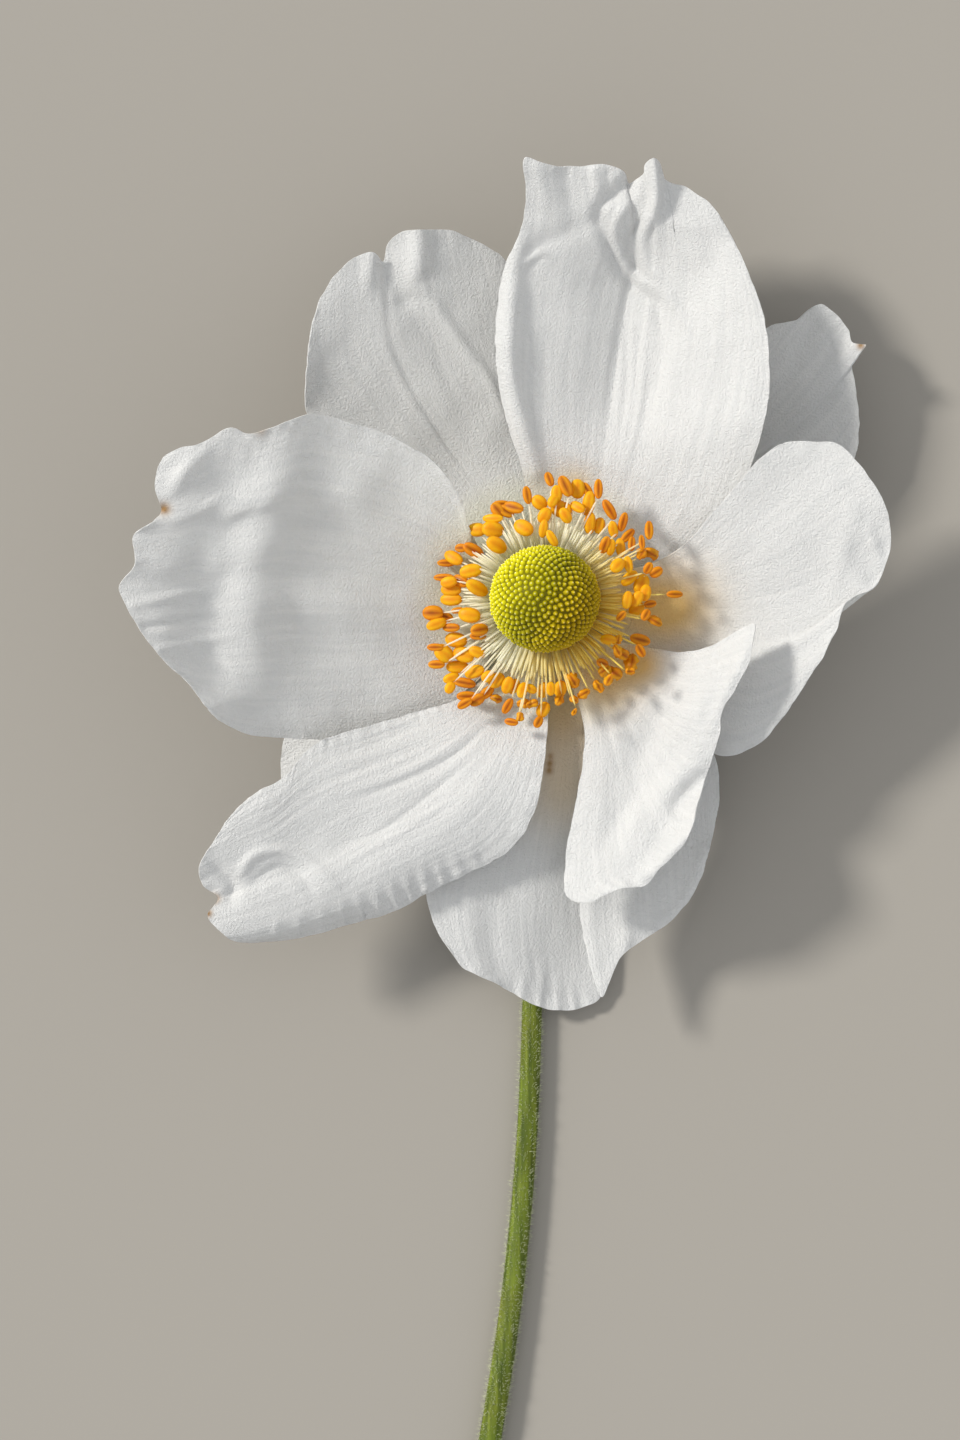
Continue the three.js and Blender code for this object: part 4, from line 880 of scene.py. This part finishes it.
# ------------------------------------------------------------------ stamens
# A ring of about 120 stamens. Each is a cream thread from the receptacle's cushion and an
# anther of two orange pollen sacs side by side. Plump ones are unopened, split ones have a dark
# slit, and the shrivelled ones have shed their pollen.
#   (x, y) of the anther's middle, its length and width, the azimuth of its long side, its state
#   The first 45 stand where the CAD ones do.
ANTHERS = [
    (10.6, 0.4, 1.2, 0.6, 0, "split"), (7.9, 1.2, 1.5, 1.2, 70, "plump"), (9.1, 2.2, 1, 0.8, 30, "split"),
    (8.7, 3.7, 1.2, 1, 150, "shed"), (6.2, 4.2, 1.4, 0.8, 95, "plump"), (4.9, 4.4, 1.3, 0.8, 70, "split"),
    (5.6, 5.7, 1.2, 0.8, 100, "plump"), (5.3, 7.3, 1.6, 0.8, 120, "split"),
    (3.7, 6.2, 1.6, 0.9, 85, "plump"), (3.6, 7.8, 1.8, 1, 80, "plump"), (2.7, 9, 1.4, 1.2, 90, "plump"),
    (1.2, 7.4, 1.6, 1.3, 150, "plump"), (0.4, 9.8, 1.1, 0.7, 110, "split"),
    (-0.4, 7.9, 1.2, 1.1, 140, "plump"), (-1.7, 5.8, 1.5, 1.2, 150, "plump"),
    (-3.8, 7.3, 1.2, 1, 130, "split"), (-4.2, 5.7, 1.6, 1.3, 170, "plump"),
    (-3.9, 4.4, 1.6, 1.2, 150, "plump"), (-5.8, 4, 1.6, 1, 150, "split"), (-7.4, 3.4, 1.5, 1, 150, "plump"),
    (-6, 2.3, 1.6, 1.1, 10, "plump"), (-8.2, 1.8, 1.5, 0.6, 0, "split"), (-5.5, 0.9, 1.8, 1.1, 150, "plump"),
    (-7.6, 0, 1.6, 1, 0, "plump"), (-9.1, -1.1, 1.5, 1.2, 0, "split"), (-6.1, -1.3, 1.6, 1.2, 170, "plump"),
    (-7.6, -2.3, 1.3, 0.7, 0, "split"), (-5.3, -2.5, 1.3, 1, 10, "split"),
    (-8.2, -4.4, 1.5, 1.3, 140, "plump"), (-6.6, -4.5, 1.6, 1.2, 160, "plump"),
    (-5.5, -4.3, 1.2, 0.9, 160, "plump"), (-5.7, -5.9, 1.5, 1, 20, "plump"),
    (-6.3, -7.9, 1.5, 0.8, 0, "split"), (-3.9, -6.6, 1.3, 1.1, 40, "plump"),
    (-2.5, -7.1, 1.2, 0.9, 60, "plump"), (-1.7, -8.5, 1, 0.8, 0, "shed"), (-0.1, -9, 1.2, 1, 60, "plump"),
    (2.3, -6.6, 1.2, 1, 120, "shed"), (4.4, -7.1, 1, 0.8, 120, "shed"), (5.7, -6, 1.2, 1, 150, "shed"),
    (7.1, -5.2, 1.4, 1.1, 80, "shed"), (5.2, -3.3, 1.2, 0.8, 170, "plump"),
    (7.8, -3.3, 1.5, 0.9, 165, "split"), (9, -1.8, 1.2, 0.7, 150, "shed"), (7.5, -0.8, 1.2, 1, 30, "plump"),
    (7.5, 0, 1.2, 0.9, 60, "plump"), (8.2, 0.5, 1.2, 0.9, 80, "plump"), (6.9, 1.7, 1.4, 0.9, 40, "plump"),
    (8.4, 2.5, 0.9, 0.7, 60, "split"), (6.8, 2.8, 1.2, 0.7, 100, "plump"), (5.9, 2.7, 1.2, 1, 45, "plump"),
    (7.9, 3.7, 0.9, 0.8, 60, "shed"), (7.9, 4.6, 1.1, 0.5, 95, "split"), (7.1, 4.5, 1.1, 0.6, 85, "split"),
    (8.5, 5.6, 1.4, 0.7, 90, "split"), (6.8, 5.2, 1.3, 0.7, 45, "split"), (5.4, 4.2, 1.2, 0.7, 80, "plump"),
    (6.4, 6.3, 1.4, 0.7, 75, "split"), (4.5, 6, 1.2, 0.9, 80, "plump"), (4.4, 9, 1.5, 0.7, 90, "split"),
    (3.5, 8.9, 1.2, 0.7, 120, "split"), (2.7, 7.5, 1.2, 0.8, 150, "plump"),
    (1.7, 6.8, 1.2, 0.9, 120, "plump"), (1.8, 7.4, 1, 0.8, 120, "plump"), (1.7, 9.2, 1.6, 1, 115, "split"),
    (0.6, 4.9, 1.3, 0.7, 120, "plump"), (1, 8.6, 1.2, 0.9, 90, "plump"), (0.7, 8, 1, 0.8, 60, "plump"),
    (0, 6.8, 1.2, 1, 60, "plump"), (-0.1, 5.7, 1.3, 0.7, 80, "plump"), (-1.4, 8.5, 1.3, 0.7, 100, "split"),
    (-2.5, 7.5, 1.5, 0.9, 165, "split"), (-3.1, 7.2, 1.2, 0.9, 150, "split"),
    (-3.5, 7.8, 1.2, 0.6, 0, "split"), (-4.2, 6.6, 1.5, 0.7, 0, "plump"), (-5.5, 5.7, 1.4, 1.1, 0, "plump"),
    (-6.8, 4.2, 0.9, 0.7, 0, "split"), (-8, 3, 1.3, 0.6, 0, "split"), (-6.8, 1.5, 1.3, 0.9, 150, "split"),
    (-7.8, 1.4, 1.2, 0.9, 10, "plump"), (-7.6, 0.8, 1.5, 1, 0, "plump"), (-7.1, -0.9, 0.9, 0.5, 10, "split"),
    (-8, -1.4, 1, 0.7, 160, "split"), (-8.8, -2, 1.5, 0.9, 20, "plump"), (-8.9, -3.9, 1.2, 0.6, 0, "split"),
    (-7.2, -3.3, 1.6, 1.2, 170, "plump"), (-5.4, -3, 1.2, 0.6, 0, "split"),
    (-8.8, -5.3, 1.2, 0.7, 0, "split"), (-7.1, -5.5, 1.6, 1, 0, "plump"),
    (-7.6, -6.4, 1.2, 0.8, 20, "plump"), (-7.7, -7.2, 0.9, 0.8, 60, "plump"),
    (-6.5, -6.8, 1.6, 0.8, 170, "split"), (-6.5, -8.5, 1.2, 0.7, 30, "split"),
    (-4.6, -6.3, 1, 0.9, 30, "plump"), (-5.5, -8.2, 1.2, 0.9, 30, "split"),
    (-4.7, -7.6, 1.2, 0.8, 40, "split"), (-3.9, -8.1, 0.9, 0.7, 160, "shed"),
    (-3, -7, 1.3, 0.9, 70, "plump"), (-3, -8.7, 1.2, 0.7, 60, "split"), (-2.7, -10, 1, 0.6, 170, "split"),
    (-1.8, -7.4, 1.2, 0.8, 70, "plump"), (-2, -9.6, 0.7, 0.6, 80, "shed"),
    (-1.1, -7.3, 0.9, 0.7, 150, "plump"), (-1, -8.5, 0.9, 0.7, 20, "shed"),
    (-0.5, -10, 0.9, 0.7, 60, "split"), (-0.1, -7.4, 1.2, 0.9, 70, "plump"),
    (0.5, -7.3, 1, 0.7, 90, "plump"), (1.2, -8.2, 0.9, 0.7, 60, "shed"), (1.3, -7.3, 1.2, 1, 80, "plump"),
    (2.4, -9.2, 0.6, 0.4, 60, "shed"), (2.4, -8.2, 0.7, 0.6, 150, "shed"), (3.2, -7.7, 1, 0.7, 30, "shed"),
    (5.2, -6.6, 0.9, 0.7, 60, "shed"), (4.9, -5.8, 1, 0.9, 30, "shed"), (4.7, -5.2, 0.9, 0.7, 160, "split"),
    (6.9, -5.9, 0.7, 0.6, 0, "shed"), (5.9, -4.2, 0.9, 0.7, 120, "shed"), (6.3, -4.5, 1.2, 1, 150, "shed"),
    (6, -3.3, 0.7, 0.6, 80, "shed"), (7.8, -4.2, 1, 0.7, 120, "split"), (6.2, -1.4, 0.9, 0.6, 45, "split"),
    (8.2, -1.3, 0.9, 0.7, 60, "split"), (8.6, -0.4, 0.9, 0.6, 10, "split"),
    (6.7, -0.1, 1.3, 0.8, 80, "plump"),
]
CAD_STAMENS = 45
THREAD_RADIUS = (0.11, 0.075)
CUSHION_TOP = 8.5
CUSHION_RIM = 2.9
FILAMENT_REACH = 4.9              # from the cushion's rim to the middle of the anther
RING_SLOPE = 0.08                 # the ring of stamens stands higher towards +X
LOWEST_ANTHER = 2.2               # above the cushion
STARTS = ((2.2, 8.35), (2.85, 8.3))   # radius and height where the innermost and outermost begin
RISES = ((5.1, 12.2), (6.0, 12.2))
SPREAD = (5.3, 9.0)
BARE_THREADS = 104                # in each of two layers
BARE_LAYERS = ((0.9, 1.0, -0.4), (2.3, 0.5, -0.9))    # fullness at base and end, and height
BARE_REACH = (6.0, 7.4)           # from the flower's axis to their ends
BARE_ARCH = 1.0                   # how much higher they arch
THREAD_END = 0.8                  # how far along the anther's lower half its thread ends
HEIGHTS_VARY = 0.9                # up and down, of the stamens that CAD hasn't placed
PITCH = 22                        # degrees that an anther may point up or down
LEE_LIFT = 0.16                   # how much higher the ring is for each millimetre to the lee
SAC_SWELL = (1.18, 1.12)          # real sacs bulge past the outline that is measured
SAC_THICKNESS = 0.36
SLIT_WIDTH = 0.3
SLIT_DEPTH = {"plump": 0.34, "split": 0.62, "shed": 0.34}
LUMPS = (0.55, 1.25)              # how a sac that has shed its pollen shrinks and swells
THREAD_SIDES = 6
THREAD_STEPS = 10
SAC_SIDES = 12
SAC_STEPS = 8


def anther_middle(x, y, lift):
    """Where an anther stands: the threads are about equally long, so the inner ones are higher."""
    out = math.hypot(x, y) - CUSHION_RIM
    up = max(math.sqrt(max(FILAMENT_REACH**2 - out**2, 0)), LOWEST_ANTHER)
    return np.array([x, y, CUSHION_TOP + up + RING_SLOPE * x + lift])


def thread_points(template, end, raised=0):
    """The thread's corners along an easy curve from the cushion to its end."""
    azimuth = math.atan2(end[1], end[0])
    share = (math.hypot(end[0], end[1]) - SPREAD[0]) / (SPREAD[1] - SPREAD[0])
    share = min(max(share, 0), 1)
    way = np.array([math.cos(azimuth), math.sin(azimuth)])
    start, rise = (np.array(inner) + (np.array(outer) - np.array(inner)) * share
                   for inner, outer in (STARTS, RISES))
    start = np.array([*(way * start[0]), start[1]])
    rise = np.array([*(way * rise[0]), rise[1] + raised])
    u, angle, wide = template
    u = u[:, None]
    line = start * (1 - u) ** 2 + rise * 2 * u * (1 - u) + end * u**2
    ahead = (rise - start) * (1 - u) + (end - rise) * u
    ahead /= np.linalg.norm(ahead, axis=1)[:, None]
    across = np.array([-way[1], way[0], 0])
    over = np.cross(ahead, across)
    radius = (THREAD_RADIUS[0] + (THREAD_RADIUS[1] - THREAD_RADIUS[0]) * u) * wide[:, None]
    return line + radius * (across * np.cos(angle)[:, None] + over * np.sin(angle)[:, None])


def sac_points(template, middle, size, azimuth, pitch, state, chance):
    """The anther's corners: two sacs side by side with a slit between them, above and below."""
    u, angle, wide = template
    length, width = size[0] * SAC_SWELL[0], size[1] * SAC_SWELL[1]
    slit = np.exp(-((np.cos(angle) / SLIT_WIDTH) ** 2)) * wide
    x = -np.cos(math.pi * u) * length / 2
    y = np.cos(angle) * wide * width / 2 * (1 + 0.05 * np.cos(2 * math.pi * u))
    z = np.sin(angle) * wide * width * SAC_THICKNESS * (1 - SLIT_DEPTH[state] * slit)
    if state == "shed":
        lumps = chance.uniform(*LUMPS, len(u))
        y = y * lumps
        z = z * lumps[::-1] * 1.2
        z = z + 0.12 * np.sin(u * 9 + azimuth)
    a, p = math.radians(azimuth), math.radians(pitch)
    along = np.array([math.cos(a) * math.cos(p), math.sin(a) * math.cos(p), math.sin(p)])
    across = np.array([-math.sin(a), math.cos(a), 0])
    over = np.cross(along, across)
    return middle + np.outer(x, along) + np.outer(y, across) + np.outer(z, over), slit


def rows_and_sides(ball):
    """A ball's corners as shares from pole to pole, angles about its axis, and roundness."""
    co = np.array([corner.co for corner in ball.data.vertices])
    wide = np.hypot(co[:, 0], co[:, 1])
    return np.arccos(np.clip(-co[:, 2], -1, 1)) / math.pi, np.arctan2(co[:, 1], co[:, 0]), wide


filament, tree, skin = new_material("thread_cream", 0.45, 0.35)
# Painted warm shade: the threads turn deeper yellow on the side of the ring away from the sun, as the tone
# says.
warm_shaded = mixed(tree, painted(tree, "tone"), (0.99, 0.97, 0.84, 1), (0.99, 0.84, 0.22, 1))
fill(tree, skin, {"Base Color": warm_shaded})
let_light_through(tree, skin, 0.6, Color=warm_shaded)


def anther_material(name, young_colour, skin_colour, slit_colour, roughness):
    """Pollen sacs: yellow to orange skin, a darker slit, and a fine mottle."""
    material, tree, skin = new_material(name, roughness, 0.25)
    place = add_node(tree, "ShaderNodeTexCoord").outputs["Object"]
    mottle = add_node(tree, "ShaderNodeTexNoise", Scale=1900, Detail=3, Vector=place).outputs
    age = add_node(tree, "ShaderNodeTexNoise", Scale=430, Detail=1, Vector=place).outputs["Fac"]
    aged = mixed(tree, age, young_colour, skin_colour)
    parted = mixed(tree, painted(tree, "tone"), aged, slit_colour)
    mottled = mixed(tree, 0.3, parted, mottle["Color"], "OVERLAY")
    relief = add_node(tree, "ShaderNodeBump", Strength=0.5, Distance=0.05 * MM, Height=mottle["Fac"])
    fill(tree, skin, {"Base Color": mottled, "Normal": relief.outputs["Normal"]})
    let_light_through(tree, skin, 0.3, Color=mottled)
    return material


SAC_SKINS = {
    "plump": anther_material(
        "anther_plump", (0.98, 0.62, 0.010, 1), (0.93, 0.40, 0.005, 1), (0.82, 0.33, 0.004, 1), 0.45
    ),
    "split": anther_material(
        "anther_split", (0.92, 0.42, 0.008, 1), (0.80, 0.25, 0.004, 1), (0.36, 0.075, 0.002, 1), 0.5
    ),
    "shed": anther_material(
        "anther_shed", (0.97, 0.52, 0.012, 1), (0.84, 0.29, 0.006, 1), (0.42, 0.10, 0.004, 1), 0.4
    ),
}

bpy.ops.object.select_all(action="DESELECT")
bpy.ops.mesh.primitive_uv_sphere_add(segments=THREAD_SIDES, ring_count=THREAD_STEPS, radius=1)
thread = bpy.context.object
thread_template = rows_and_sides(thread)
thread_template = (thread_template[0], thread_template[1], (thread_template[2] > 0.01) * 1.0)
bpy.ops.mesh.primitive_uv_sphere_add(segments=SAC_SIDES, ring_count=SAC_STEPS, radius=1)
sac = bpy.context.object
sac_template = rows_and_sides(sac)
for face in sac.data.polygons:
    face.material_index = 1
thread_corners = len(thread.data.vertices)
thread.data.materials.append(filament)
sac.data.materials.append(filament)
sac.data.materials.append(SAC_SKINS["plump"])
thread.select_set(True)
sac.select_set(True)
bpy.context.view_layer.objects.active = thread
bpy.ops.object.join()
stamen_shape = bpy.context.object

chance = np.random.default_rng(11)
for number, (x, y, length, width, azimuth, state) in enumerate(ANTHERS):
    to_shade_side = max(x * SHADE_SIDE[0] + y * SHADE_SIDE[1], 0)
    own = number < CAD_STAMENS
    lift = 0 if own else chance.uniform(-HEIGHTS_VARY, HEIGHTS_VARY) + LEE_LIFT * to_shade_side
    pitch = chance.uniform(-PITCH, PITCH)
    if math.cos(math.radians(azimuth) - math.atan2(y, x)) < 0:
        azimuth += 180
    middle = anther_middle(x, y, lift)
    sac_corners, slit = sac_points(sac_template, middle, (length, width), azimuth, pitch, state, chance)
    end = middle + (sac_corners[np.argmin(sac_template[0])] - middle) * THREAD_END
    corners = np.vstack([thread_points(thread_template, end), sac_corners])
    name = f"stamen_{number + 1:02d}"
    mesh = stamen_shape.data.copy()
    mesh.name = f"ripe_{name}" if own else name
    stamen = linked(mesh)
    stamen.data.vertices.foreach_set("co", framed(corners).ravel())
    # Tone: the thread's share of painted warm shade, by how far it stands on the side away from the sun, and
    # the sacs' slit.
    tone = stamen.data.attributes.new("tone", "FLOAT", "POINT")
    shade_side_tint = np.full(thread_corners, to_shade_side / math.hypot(x, y))
    tone.data.foreach_set("value", np.concatenate([shade_side_tint, slit]))
    stamen.data.materials[0] = filament
    stamen.data.materials[1] = SAC_SKINS[state]
    if own:
        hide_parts(name)
    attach(stamen, "root")
bpy.data.meshes.remove(stamen_shape.data)

# Between them stand threads whose anthers have dropped or hide under the others: thin ones on
# top, and under those a layer whose broad bases close up.
bpy.ops.mesh.primitive_uv_sphere_add(segments=THREAD_SIDES, ring_count=THREAD_STEPS, radius=1)
thread = bpy.context.object
corners, shade_side_tint = [], []
for layer, (base, tip_end, lift) in enumerate(BARE_LAYERS):
    u, angle, wide = thread_template
    tapered = (u, angle, wide * (base + (tip_end - base) * u))
    for number in range(BARE_THREADS):
        azimuth = 2 * math.pi * (number + layer / 2 + chance.uniform(-0.3, 0.3)) / BARE_THREADS
        radius = chance.uniform(*BARE_REACH)
        x, y = radius * math.cos(azimuth), radius * math.sin(azimuth)
        end = anther_middle(x, y, lift + chance.uniform(-0.15, 0.15))
        corners.append(thread_points(tapered, end, BARE_ARCH))
        # Painted warm shade, by how far the thread stands on the side away from the sun.
        shade_side_tint += [max(x * SHADE_SIDE[0] + y * SHADE_SIDE[1], 0) / radius] * thread_corners
bare = copied("bare_threads", thread, np.array(corners))
bare.data.materials.append(filament)
bare.data.attributes.new("tone", "FLOAT", "POINT").data.foreach_set("value", shade_side_tint)
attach(bare, "root")
